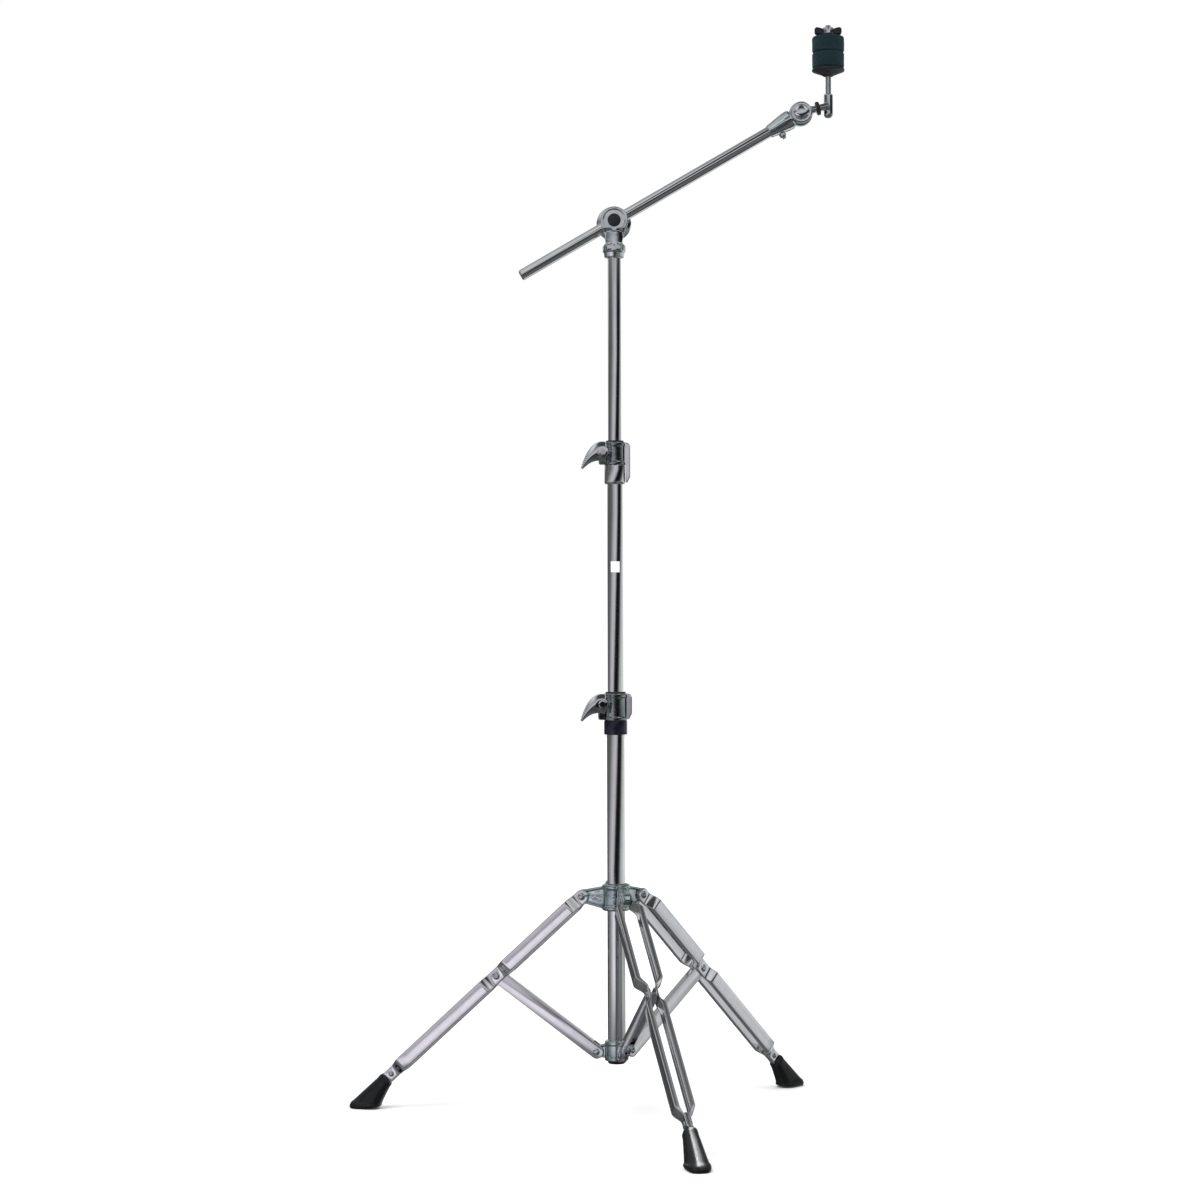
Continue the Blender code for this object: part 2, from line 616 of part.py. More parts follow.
def boom_holder(parent):
    """Eye bolt, toothed disc, front screw and wing nut on the tilt axis."""
    tilt = empty("boom_tilt_axis", parent, (0, 0, BOOM_PIVOT_Z), (0, -BOOM_ANGLE, 0))
    along = (0, pi / 2, 0)
    eye = turned("boom_eye_bolt", [(0.0110, 0.0072), (0.0115, 0.0062), (0.0115, -0.0062),
                                   (0.0110, -0.0072), (0.0097, -0.0072), (0.0097, 0.0072)], FINE, True)
    shank = shaft("eye_shank", [(0.0040, -0.0105), (0.0040, -0.0335), (0.0035, -0.0340)], SMALL)
    join(eye, as_tool(shank, tilt, (0, 0, 0), UPRIGHT))
    finish(eye, "zinc", tilt, (0, 0, 0), along)

    disc = turned("boom_tilt_disc", [(DISC_R - 0.0012, 0.0058), (DISC_R, 0.0046), (DISC_R, 0.0008),
                                     (DISC_R - 0.0008, 0), (0.0043, 0), (0.0043, 0.0058)], FINE, True)
    finish(disc, "chrome", tilt, (0, CHEEK_OUTER + GAP, 0), (-pi / 2, 0, 0))
    outside = CHEEK_OUTER + GAP
    screw = shaft("boom_front_screw", [(0.0062, outside + 0.0030), (0.0072, outside + 0.0022),
                                       (0.0072, outside), (0.0040, outside), (0.0040, 0.0118)], MEDIUM)
    finish(screw, "nylon", tilt, (0, 0, 0), UPRIGHT)

    nut_at = CHEEK_OUTER + 2 * GAP + 0.0058
    nut_axis = empty("boom_wing_nut_axis", tilt, (0, nut_at, 0), (-pi / 2, 0, 0))
    nut = turned("boom_wing_nut", [(0.0062, 0.0105), (0.0078, 0.0090), (0.0095, 0.0008),
                                   (0.0090, 0), (0.0043, 0), (0.0043, 0.0105)], MEDIUM, True)
    wings = wing("boom_nut_wings", 0.044, 0.0050, 0.0050, 0.018, 0.0055)
    join(nut, as_tool(wings, nut_axis, (0, 0, 0.0022), UPRIGHT))
    cut(nut, as_tool(shaft("boom_nut_thread", [(0.0043, 0.03), (0.0043, -0.002)], SMALL), nut_axis))
    finish(nut, "chrome", nut_axis)

    roll = empty("boom_roll_axis", tilt, (0, 0, 0), along)
    bush = sleeve("boom_sleeve", 0.0094, BOOM_R + GAP, -0.0085, 0.0085, FINE)
    finish(bush, "nylon", roll)
    return roll


# ---------------------------------------------------------------- boom and cymbal end

def boom(roll):
    """The boom tube with its tail plug and front fitting. Z of the frame runs out along the boom."""
    slide = empty("boom_slide", roll)
    end = BOOM_CONE_START + 0.006
    finish(sleeve("boom_tube", BOOM_R, BOOM_R - TUBE_WALL, BOOM_TAIL + 0.0023, end, FINE), "chrome", slide)
    inside = BOOM_R - TUBE_WALL - GAP
    tail = BOOM_TAIL + 0.002
    plug = shaft("boom_tail_plug", [(inside - 0.0008, tail + 0.011), (inside, tail + 0.010), (inside, tail),
                                    (BOOM_R, tail), (BOOM_R - 0.0006, tail - 0.0014),
                                    (BOOM_R - 0.0025, tail - 0.0020)], FINE)
    finish(plug, "chrome", slide)

    start, finish_at = BOOM_CONE_START, BOOM_CONE_END
    bore = BOOM_R + GAP
    cone = shaft("boom_end_fitting", [(0.0125, finish_at + 0.003), (0.0140, finish_at),
                                      (0.0136, finish_at - 0.008), (0.0098, start + 0.004),
                                      (0.0090, start), (bore, start), (bore, end + GAP)], FINE)
    head = turned("fitting_head", [(0.0158, 0.0120), (0.0170, 0.0108), (0.0170, 0.0004),
                                   (0.0033, 0.0004), (0.0033, 0.0120)], FINE, True)
    # in this frame the boom's up direction is -X, and Y is the tilt axis
    join(cone, as_tool(head, slide, (0, 0, HEAD_AT), (-pi / 2, 0, 0)))
    neck = block("fitting_neck", (0.021, 0.0100, 0.016), (0, 0.0061, HEAD_AT - 0.0165))
    join(cone, as_tool(neck, slide))
    clear = shaft("fitting_clear", [(0.0158, 0.0002), (0.0158, -0.020)], FINE)
    cut(cone, as_tool(clear, slide, (0, 0, HEAD_AT), (-pi / 2, 0, 0)))
    drill(cone, slide, 0.0033, (0, 0.006, HEAD_AT), 0.03)
    finish(cone, "chrome", slide)
    return slide


def tilter(slide):
    """The arm that turns on the boom's end, and everything on the cymbal rod."""
    level = (0, BOOM_ANGLE - pi / 2, 0)
    axis = empty("tilter_axis", slide, (0, 0, HEAD_AT), level)
    head_x = HEAD_AT * cos(BOOM_ANGLE)
    head_z = BOOM_PIVOT_Z + HEAD_AT * sin(BOOM_ANGLE)
    to_rod = ROD_X - head_x

    def height(z):
        return z - head_z

    arm = turned("tilter_arm", [(0.0143, 0.0115), (0.0155, 0.0103), (0.0155, 0.0001),
                                (0.0033, 0.0001), (0.0033, 0.0115)], FINE, True)
    bar_z = 0.0100
    bar_length = hypot(to_rod, bar_z)
    lean = atan2(bar_z, to_rod)
    bar = shaft("tilter_bar", [(0.0050, bar_length), (0.0050, 0.008)], MEDIUM)
    bar_turn = (0, pi / 2 - lean, 0)
    join(arm, as_tool(bar, axis, (0, -0.0055, 0), bar_turn))
    low, high = height(HOLDER_Z[0]), height(HOLDER_Z[1])
    holder = shaft("rod_holder", [(HOLDER_R - 0.0015, high), (HOLDER_R, high - 0.0012),
                                  (HOLDER_R, low + 0.004), (HOLDER_R - 0.0025, low + 0.0008),
                                  (HOLDER_R - 0.0040, low)], MEDIUM)
    join(arm, as_tool(holder, axis, (to_rod, 0, 0)))
    bore = shaft("rod_bore", [(ROD_R + GAP, high + 0.01), (ROD_R + GAP, height(ROD_Z[0]) - GAP)], MEDIUM)
    cut(arm, as_tool(bore, axis, (to_rod, 0, 0)))
    finish(arm, "chrome", axis, (0, 0, 0), UPRIGHT)
    centre = (0, -0.0055, 0)
    collar = sleeve("tilter_collar", 0.0096, 0.0053, 0.0222, 0.0272)
    finish(collar, "nylon", axis, centre, bar_turn)

    bolt = shaft("tilter_bolt", [(0.0050, 0.0156), (0.0092, 0.0144), (0.0110, 0.0118),
                                 (0.0030, 0.0118), (0.0030, -0.0215)], MEDIUM)
    finish(bolt, "chrome", axis, (0, 0, 0), UPRIGHT)
    nut_axis = empty("tilter_wing_nut_axis", axis, (0, 0.0123, 0), (-pi / 2, 0, 0))
    nut = turned("tilter_wing_nut", [(0.0048, 0.0080), (0.0060, 0.0070), (0.0070, 0.0006),
                                     (0.0065, 0), (0.0033, 0), (0.0033, 0.0080)], MEDIUM, True)
    wings = wing("tilter_nut_wings", 0.032, 0.0040, 0.0038, 0.013, 0.0042)
    join(nut, as_tool(wings, nut_axis, (0, 0, 0.0018), UPRIGHT))
    cut(nut, as_tool(shaft("tilter_nut_thread", [(0.0033, 0.03), (0.0033, -0.002)], SMALL), nut_axis))
    finish(nut, "chrome", nut_axis)

    rod_axis = empty("cymbal_rod_axis", axis, (to_rod, 0, 0))
    rod = shaft("cymbal_rod", [(ROD_R - 0.0005, height(ROD_Z[1])), (ROD_R, height(ROD_Z[1]) - 0.0006),
                               (ROD_R, height(ROD_Z[0]))], MEDIUM)
    finish(rod, "zinc", rod_axis)
    hole = ROD_R + GAP
    seat_low, seat_high = height(SEAT_Z[0]), height(SEAT_Z[1])
    seat = turned("cymbal_seat_washer", [(FELT_R - 0.0008, seat_high), (FELT_R, seat_high - 0.0008),
                                         (FELT_R, seat_high - 0.0040), (0.0080, seat_low + 0.0015),
                                         (0.0065, seat_low), (hole, seat_low), (hole, seat_high)], FINE, True)
    finish(seat, "nylon", rod_axis)
    lower, split, upper = (height(z) for z in FELT_Z)
    bush = sleeve("cymbal_rod_sleeve", 0.0060, hole, lower, upper - 0.001)
    finish(bush, "nylon", rod_axis)
    for name, bottom, top, parent in (("lower_felt", lower, split - GAP, rod_axis),
                                      ("upper_felt", split, upper, empty("upper_felt_slide", rod_axis))):
        edge = 0.003
        rim = [(FELT_R - edge, top), (FELT_R - edge * 0.3, top - edge * 0.3), (FELT_R, top - edge),
               (FELT_R, bottom + edge), (FELT_R - edge * 0.3, bottom + edge * 0.3),
               (FELT_R - edge, bottom)]
        finish(turned(name, rim + [(0.0063, bottom), (0.0063, top)], FINE, True), "felt", parent)

    nut_low, nut_high = height(WING_NUT_Z[0]), height(WING_NUT_Z[1])
    slide_up = empty("cymbal_nut_slide", rod_axis)
    nut = turned("cymbal_wing_nut", [(0.0058, nut_high), (0.0065, nut_high - 0.0008),
                                     (0.0065, nut_low + 0.003), (0.0095, nut_low + 0.0015),
                                     (0.0095, nut_low), (hole, nut_low), (hole, nut_high)], MEDIUM, True)
    wings = wing("cymbal_nut_wings", 0.0386, 0.0040, 0.0034, 0.0108, 0.0075)
    join(nut, as_tool(wings, slide_up, (0, 0, nut_low + 0.0018), UPRIGHT))
    thread = shaft("cymbal_nut_thread", [(hole, nut_high + 0.01), (hole, nut_low - 0.01)], MEDIUM)
    cut(nut, as_tool(thread, slide_up))
    finish(nut, "navy_plastic", slide_up)


base_column()
brace_hub()
HUB_SLIDE = leg_hub()
for SIDE, AZIMUTH in LEG_AZIMUTHS.items():
    leg(SIDE, AZIMUTH, HUB_SLIDE)
    brace(SIDE, AZIMUTH)

LOWER_SWIVEL = clamp(1, COLUMN, CLAMP_1_Z, 0.0165, 0.0133, MIDDLE_TUBE_R,
                     (BASE_TUBE_R, BASE_TUBE_Z[1]), CLAMP_1_Z[1] + 0.002, True)
MIDDLE_SLIDE = empty("middle_tube_slide", LOWER_SWIVEL)
tube("middle_tube", MIDDLE_TUBE_R, MIDDLE_TUBE_Z, MIDDLE_SLIDE)
UPPER_SWIVEL = clamp(2, MIDDLE_SLIDE, CLAMP_2_Z, 0.0150, 0.0115, UPPER_TUBE_R,
                     (MIDDLE_TUBE_R, MIDDLE_TUBE_Z[1]), CLAMP_2_Z[0] + 0.002, False)
UPPER_SLIDE = empty("upper_tube_slide", UPPER_SWIVEL)
tube("upper_tube", UPPER_TUBE_R, UPPER_TUBE_Z, UPPER_SLIDE)
yoke(UPPER_SLIDE)
tilter(boom(boom_holder(UPPER_SLIDE)))
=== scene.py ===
"""Looks of a cymbal boom stand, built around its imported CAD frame.

Units are metres. Every piece is modelled in its part's own frame, moved to the row frame and
given to the CAD body that it moves with.
"""

import json
from math import atan2, cos, hypot, pi, radians, sin, sqrt

import bmesh
import bpy
from mathutils import Matrix, Quaternion, Vector, noise

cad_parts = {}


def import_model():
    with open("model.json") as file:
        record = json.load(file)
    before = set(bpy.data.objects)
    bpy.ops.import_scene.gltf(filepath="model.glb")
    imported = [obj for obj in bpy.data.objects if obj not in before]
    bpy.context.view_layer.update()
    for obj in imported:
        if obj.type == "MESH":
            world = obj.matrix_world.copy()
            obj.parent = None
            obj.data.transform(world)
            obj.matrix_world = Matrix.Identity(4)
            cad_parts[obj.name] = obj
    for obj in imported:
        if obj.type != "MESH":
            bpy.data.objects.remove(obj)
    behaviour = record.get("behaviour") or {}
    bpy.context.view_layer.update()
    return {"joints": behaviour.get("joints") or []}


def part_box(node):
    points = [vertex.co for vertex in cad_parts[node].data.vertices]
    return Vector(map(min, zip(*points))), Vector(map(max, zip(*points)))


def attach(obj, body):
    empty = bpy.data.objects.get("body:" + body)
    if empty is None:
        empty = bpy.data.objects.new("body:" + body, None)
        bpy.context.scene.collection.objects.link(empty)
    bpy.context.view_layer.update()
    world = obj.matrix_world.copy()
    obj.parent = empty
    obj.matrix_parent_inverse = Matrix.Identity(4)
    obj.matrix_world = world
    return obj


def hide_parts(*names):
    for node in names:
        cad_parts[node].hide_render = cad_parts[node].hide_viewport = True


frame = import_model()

JOINTS = {joint["name"]: joint for joint in frame["joints"]}


def joint_at(name):
    return Vector(JOINTS[name]["pos_m"])


# ------------------------ sizes shared with the design

SIDES = ("front", "right", "left")
LEG_SLOPE = radians(42.5)
BOOM_ANGLE = radians(30)
BASE_TUBE_R = 0.0127
MIDDLE_TUBE_R = 0.0111
UPPER_TUBE_R = 0.00955
BOOM_R = 0.0079
TUBE_WALL = 0.0012
GAP = 0.0003
STRIP_HALF_HEIGHT = 0.010
STRIP_SHEET = 0.0015
JOINT_SPREAD = 0.0057
UPPER_SPREAD = 0.018
LOWER_SPREAD = 0.013
FOOT_SPREAD = 0.0031
BRACE_JOINT_R = 0.177
CHEEK_INNER = 0.0118
CHEEK_OUTER = 0.0162
CHEEK_R = 0.0197
DISC_R = 0.0250
FELT_R = 0.0233
FINE = (0.0010, 0.00045)        # pitch and depth of the small threads
ROUND = 72                      # sides of a turned piece

# ------------------------ frames

AXIS = joint_at("column_swivel")
COLUMN = Matrix.Translation((AXIS.x, AXIS.y, 0))


def turn(axis, angle):
    return Matrix.Rotation(angle, 4, axis)


UPRIGHT = turn("X", pi / 2)         # local Z to -Y
BACKWARD = turn("X", -pi / 2)       # local Z to +Y
ALONG_X = turn("Y", pi / 2)         # local Z to +X


def azimuth_of(point):
    return atan2(point.y - AXIS.y, point.x - AXIS.x)


LEG_PIVOT = {side: joint_at(f"leg_{side}_hinge") for side in SIDES}
BRACE_PIVOT = {side: joint_at(f"brace_{side}_hinge") for side in SIDES}
AZIMUTH = {side: azimuth_of(LEG_PIVOT[side]) for side in SIDES}
LEG_PIVOT_R = hypot(LEG_PIVOT["front"].x - AXIS.x, LEG_PIVOT["front"].y - AXIS.y)
LEG_PIVOT_Z = LEG_PIVOT["front"].z
BRACE_PIVOT_R = hypot(BRACE_PIVOT["front"].x - AXIS.x, BRACE_PIVOT["front"].y - AXIS.y)
BRACE_PIVOT_Z = BRACE_PIVOT["front"].z
BRACE_AT = (BRACE_JOINT_R - LEG_PIVOT_R) / cos(LEG_SLOPE)       # along a leg from its hub pivot
BRACE_JOINT_Z = LEG_PIVOT_Z - BRACE_AT * sin(LEG_SLOPE)
BRACE_LENGTH = hypot(BRACE_JOINT_R - BRACE_PIVOT_R, BRACE_JOINT_Z - BRACE_PIVOT_Z)
BRACE_SLOPE = atan2(BRACE_JOINT_Z - BRACE_PIVOT_Z, BRACE_JOINT_R - BRACE_PIVOT_R)
LEG = {side: Matrix.Translation(LEG_PIVOT[side]) @ turn("Z", AZIMUTH[side]) @ turn("Y", LEG_SLOPE)
       for side in SIDES}
BRACE = {side: Matrix.Translation(BRACE_PIVOT[side]) @ turn("Z", AZIMUTH[side]) @ turn("Y", -BRACE_SLOPE)
         for side in SIDES}
TILT = Matrix.Translation(joint_at("boom_tilt")) @ turn("Y", -BOOM_ANGLE)
BOOM = TILT @ ALONG_X               # Z runs out along the boom, -X is its upper side
HEAD = Matrix.Translation(joint_at("cymbal_tilt"))
HEAD_X, HEAD_Z = joint_at("cymbal_tilt").x, joint_at("cymbal_tilt").z
HEAD_AT = (joint_at("cymbal_tilt") - joint_at("boom_tilt")).length
HUB_BOLT = turn("Z", azimuth_of(joint_at("hub_bolt_turn"))) @ ALONG_X      # Z runs out along the wing bolt


# ------------------------ outlines

def arc(centre, radius, start, end, count):
    """Points on an arc, angles in degrees."""
    turns = [radians(start + (end - start) * i / count) for i in range(count + 1)]
    return [(centre[0] + radius * cos(t), centre[1] + radius * sin(t)) for t in turns]


def bend(start, control, end, count=10):
    """Points on a quadratic curve."""
    points = []
    for i in range(count + 1):
        t = i / count
        a, b, c = (1 - t) ** 2, 2 * t * (1 - t), t * t
        points.append(tuple(a * p + b * q + c * r for p, q, r in zip(start, control, end)))
    return points


def rounded(points, radius, steps=3, closed=True):
    """The outline with each corner replaced by a small curve."""
    made = []
    count = len(points)
    for i, point in enumerate(points):
        if not closed and i in (0, count - 1):
            made.append(point)
            continue
        here = Vector(point)
        back = Vector(points[i - 1]) - here
        on = Vector(points[(i + 1) % count]) - here
        if back.length < 1e-9 or on.length < 1e-9 or back.angle(on) > radians(172):
            made.append(point)
            continue
        reach = min(radius, 0.45 * back.length, 0.45 * on.length)
        start, end = here + back.normalized() * reach, here + on.normalized() * reach
        made += bend(tuple(start), point, tuple(end), steps)
    return made


def mirrored(points):
    """The other half of a symmetrical outline."""
    return [(-x, y) for x, y in reversed(points)]


def smooth_step(t):
    t = min(1.0, max(0.0, t))
    return t * t * (3 - 2 * t)


# ------------------------ mesh tools

def lathe(profile, sides=ROUND, closed=False):
    """Turn (radius, height) points about Z. A closed profile makes a ring."""
    shape = bmesh.new()
    rings = []
    for radius, height in profile:
        if radius < 1e-7:
            rings.append([shape.verts.new((0, 0, height))])
        else:
            rings.append([shape.verts.new((radius * cos(2 * pi * k / sides), radius * sin(2 * pi * k / sides),
                                           height)) for k in range(sides)])
    pairs = list(zip(rings, rings[1:]))
    if closed:
        pairs.append((rings[-1], rings[0]))
    for first, second in pairs:
        for k in range(sides):
            j = (k + 1) % sides
            corners = [first[k % len(first)], second[k % len(second)],
                       second[j % len(second)], first[j % len(first)]]
            corners = list(dict.fromkeys(corners))
            if len(corners) > 2:
                shape.faces.new(corners)
    bmesh.ops.recalc_face_normals(shape, faces=shape.faces)
    return shape


def shaft(profile, sides=ROUND, soften=0.0003):
    """A solid turned piece, its corners softened."""
    points = [(0, profile[0][1]), *profile, (0, profile[-1][1])]
    return lathe(rounded(points, soften, 3, False) if soften else points, sides)


def ring(profile, sides=ROUND, soften=0.0003):
    """A turned ring, its corners softened."""
    return lathe(rounded(profile, soften), sides, True)


def rod(radius, low, high, sides=32):
    """A plain round bar along Z, mostly used to drill with."""
    return shaft([(radius, high), (radius, low)], sides, 0)


def sleeve(outer, inner, low, high, soften=0.0003, sides=ROUND):
    return ring([(outer, high), (outer, low), (inner, low), (inner, high)], sides, soften)


def prism(outline, thickness, soften=0.0, steps=3):
    """A flat outline in XY, thickness along Z and centred, with rounded rims."""
    shape = bmesh.new()
    half = thickness / 2
    turns = [radians(90 * i / steps) for i in range(steps, -1, -1)] if soften else [0.0]
    rim = [(-half + soften * (1 - sin(t)), soften * (1 - cos(t))) for t in turns]
    rows = [[shape.verts.new((x, y, z)) for x, y in inset_outline(outline, inset)]
            for z, inset in rim + [(-z, inset) for z, inset in reversed(rim)]]
    count = len(outline)
    for first, second in zip(rows, rows[1:]):
        for i in range(count):
            j = (i + 1) % count
            shape.faces.new([first[i], first[j], second[j], second[i]])
    shape.faces.new(rows[0][::-1])
    shape.faces.new(rows[-1])
    bmesh.ops.recalc_face_normals(shape, faces=shape.faces)
    return shape


def plate(outline, thickness, soften=0.0, steps=3):
    """A prism stood upright: its outline in XZ, its thickness along Y."""
    return moved(prism(outline, thickness, soften, steps), UPRIGHT)


def inset_outline(outline, inset):
    """The outline moved inwards by inset, corner by corner."""
    if inset < 1e-9:
        return outline
    area = sum(a[0] * b[1] - b[0] * a[1] for a, b in zip(outline, outline[1:] + outline[:1]))
    way = 1 if area > 0 else -1
    moved = []
    count = len(outline)
    for i, (x, y) in enumerate(outline):
        back = Vector(outline[i]) - Vector(outline[i - 1])
        on = Vector(outline[(i + 1) % count]) - Vector(outline[i])
        first = Vector((-back.y, back.x)).normalized() * way
        second = Vector((-on.y, on.x)).normalized() * way
        both = first + second
        share = max(0.35, 1 + first.dot(second))
        moved.append((x + both.x / share * inset, y + both.y / share * inset))
    return moved


def rectangle(wide, high):
    return [(-wide / 2, -high / 2), (wide / 2, -high / 2), (wide / 2, high / 2), (-wide / 2, high / 2)]


def block(size, centre, soften=0.0):
    outline = rectangle(size[0], size[1])
    return moved(prism(rounded(outline, soften) if soften else outline, size[2], soften), at(*centre))


def hexagon(across):
    radius = across / sqrt(3)
    return [(radius * cos(radians(60 * i)), radius * sin(radians(60 * i))) for i in range(6)]


def thread(radius, low, high, pitch=0.00125, depth=0.00055, sides=28):
    """A screw thread with real helical ridges, run out at both ends."""
    shape = bmesh.new()
    per_turn = 6
    count = max(4, int((high - low) / pitch * per_turn))
    rows = []
    for i in range(count + 1):
        z = low + (high - low) * i / count
        fade = min(1.0, (z - low) / pitch, (high - z) / pitch)
        row = []
        for k in range(sides):
            angle = 2 * pi * k / sides
            phase = (z / pitch - k / sides) % 1
            ridge = abs(phase * 2 - 1)
            reach = radius - depth * (1 - ridge * fade)
            row.append(shape.verts.new((reach * cos(angle), reach * sin(angle), z)))
        rows.append(row)
    for first, second in zip(rows, rows[1:]):
        for k in range(sides):
            j = (k + 1) % sides
            shape.faces.new([first[k], first[j], second[j], second[k]])
    shape.faces.new(rows[0][::-1])
    shape.faces.new(rows[-1])
    return shape


def moved(shape, *matrices):
    for matrix in matrices:
        shape.transform(matrix)
    return shape


def at(x=0.0, y=0.0, z=0.0):
    return Matrix.Translation((x, y, z))


def to_mesh(name, shapes, matrix=None):
    """One mesh from one or more shapes."""
    mesh = bpy.data.meshes.new(name)
    whole = bmesh.new()
    for shape in shapes:
        part = bpy.data.meshes.new("part")
        shape.to_mesh(part)
        shape.free()
        whole.from_mesh(part)
        bpy.data.meshes.remove(part)
    if matrix is not None:
        whole.transform(matrix)
    whole.to_mesh(mesh)
    whole.free()
    return mesh


def placed(name, data):
    """A new object in the scene."""
    thing = bpy.data.objects.new(name, data)
    bpy.context.scene.collection.objects.link(thing)
    return thing


def evaluated(mesh, *steps):
    """The mesh after modifiers: each step is (type, settings)."""
    worker = placed("worker", mesh)
    for kind, settings in steps:
        step = worker.modifiers.new(kind.lower(), kind)
        for key, value in settings.items():
            setattr(step, key, value)
    bpy.context.view_layer.update()
    made = bpy.data.meshes.new_from_object(worker.evaluated_get(bpy.context.evaluated_depsgraph_get()))
    bpy.data.objects.remove(worker, do_unlink=True)
    bpy.data.meshes.remove(mesh)
    return made


def machined(mesh, cutters):
    """The mesh with the cutters' shapes taken out of it."""
    tools = [placed("tool", to_mesh("tool", [cutter])) for cutter in cutters]
    mesh = evaluated(mesh, *[("BOOLEAN", {"operation": "DIFFERENCE", "solver": "EXACT", "object": tool})
                             for tool in tools])
    for tool in tools:
        data = tool.data
        bpy.data.objects.remove(tool, do_unlink=True)
        bpy.data.meshes.remove(data)
    return mesh


def cast(name, shapes, grain=0.0005, passes=3, cutters=()):
    """Shapes melted into one casting with soft fillets, then machined by the cutters."""
    mesh = evaluated(to_mesh(name, shapes), ("REMESH", {"mode": "VOXEL", "voxel_size": grain}),
                     ("SMOOTH", {"factor": 0.5, "iterations": passes}))
    return machined(mesh, cutters) if cutters else mesh


def piece(name, body, material, made, matrix, node=None, sharp=38):
    """A finished piece: its mesh put in the row frame, shaded, painted and given to its body."""
    if isinstance(made, bpy.types.Mesh):
        mesh = made
        mesh.transform(matrix)
    else:
        mesh = to_mesh(name, made if isinstance(made, list) else [made], matrix)
    mesh.name = name
    mesh.shade_smooth()
    mesh.set_sharp_from_angle(angle=radians(sharp))
    mesh.materials.clear()
    mesh.materials.append(material)
    thing = placed(name, mesh)
    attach(thing, body)
    if node:
        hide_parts(node)
    return thing


# ------------------------ materials

class Nodes:
    """Short ways to add to a tree of shader nodes."""

    def __init__(self, tree):
        self.tree = tree

    def node(self, kind, **values):
        """A new node; each value is an input's or a setting's."""
        made = self.tree.nodes.new(kind)
        for key, value in values.items():
            if key in made.inputs:
                made.inputs[key].default_value = value
            else:
                setattr(made, key, value)
        return made

    def link(self, source, target):
        self.tree.links.new(source, target)

    def ramp(self, source, stops):
        made = self.node("ShaderNodeValToRGB")
        band = made.color_ramp
        while len(band.elements) < len(stops):
            band.elements.new(0.5)
        for element, (position, colour) in zip(band.elements, stops):
            element.position = position
            value = colour if isinstance(colour, tuple) else (colour,) * 3
            element.color = (*value, 1)
        self.link(source, made.inputs["Fac"])
        return made.outputs["Color"]


class Look(Nodes):
    """A Principled material on a piece's own coordinates."""

    def __init__(self, name, colour, metallic, roughness):
        self.made = bpy.data.materials.new(name)
        self.made.use_nodes = True
        super().__init__(self.made.node_tree)
        self.shader = self.tree.nodes["Principled BSDF"]
        self.shader.inputs["Base Color"].default_value = (*colour, 1)
        self.shader.inputs["Metallic"].default_value = metallic
        self.shader.inputs["Roughness"].default_value = roughness
        self.place = self.node("ShaderNodeTexCoord").outputs["Object"]

    def noise(self, scale, detail=3.0, roughness=0.5, stretch=(1, 1, 1), distortion=0.0):
        mapping = self.node("ShaderNodeMapping", Scale=stretch)
        self.link(self.place, mapping.inputs["Vector"])
        made = self.node("ShaderNodeTexNoise", Scale=scale, Detail=detail, Roughness=roughness,
                         Distortion=distortion)
        self.link(mapping.outputs["Vector"], made.inputs["Vector"])
        return made.outputs["Fac"]

    def colour(self, source):
        self.link(source, self.shader.inputs["Base Color"])

    def rough(self, source):
        self.link(source, self.shader.inputs["Roughness"])

    def bump(self, *layers):
        """Each layer is (height, strength, distance)."""
        last = None
        for height, strength, distance in layers:
            made = self.node("ShaderNodeBump", Strength=strength, Distance=distance)
            self.link(height, made.inputs["Height"])
            if last is not None:
                self.link(last, made.inputs["Normal"])
            last = made.outputs["Normal"]
        self.link(last, self.shader.inputs["Normal"])


def plated(name, bright, dull, rough_low, rough_high, wave=0.0):
    """Chrome plate: faint smudges, uneven polish and a slight swell of the metal under it."""
    look = Look(name, bright, 1.0, rough_low)
    look.colour(look.ramp(look.noise(38, 5, 0.6), [(0.30, dull), (0.62, bright)]))
    look.rough(look.ramp(look.noise(90, 5, 0.65), [(0.30, rough_low), (0.75, rough_high)]))
    look.bump((look.noise(45, 1, 0.4), wave, 0.0006))
    return look.made


def cast_metal(name, bright, dull, rough_low, rough_high, swell=0.14):
    """Plated casting: a soft uneven skin, darker in patches, with shallow pits."""
    look = Look(name, bright, 1.0, rough_low)
    look.colour(look.ramp(look.noise(60, 5, 0.65), [(0.32, dull), (0.66, bright)]))
    look.rough(look.ramp(look.noise(260, 4, 0.6), [(0.3, rough_low), (0.72, rough_high)]))
    look.bump((look.noise(95, 2, 0.5), swell, 0.0008), (look.noise(600, 2, 0.5), 0.06, 0.00015))
    return look.made


def moulded(name, colour, dark, rough_low, rough_high, grain=900, depth=0.2):
    """Moulded plastic or rubber with a fine grain and rubbed patches."""
    look = Look(name, colour, 0.0, rough_low)
    look.colour(look.ramp(look.noise(70, 5, 0.65), [(0.3, dark), (0.7, colour)]))
    look.rough(look.ramp(look.noise(150, 4, 0.6), [(0.3, rough_low), (0.7, rough_high)]))
    look.bump((look.noise(grain, 4, 0.6), depth, 0.0002), (look.noise(grain / 6, 2, 0.5), depth, 0.0005))
    return look.made


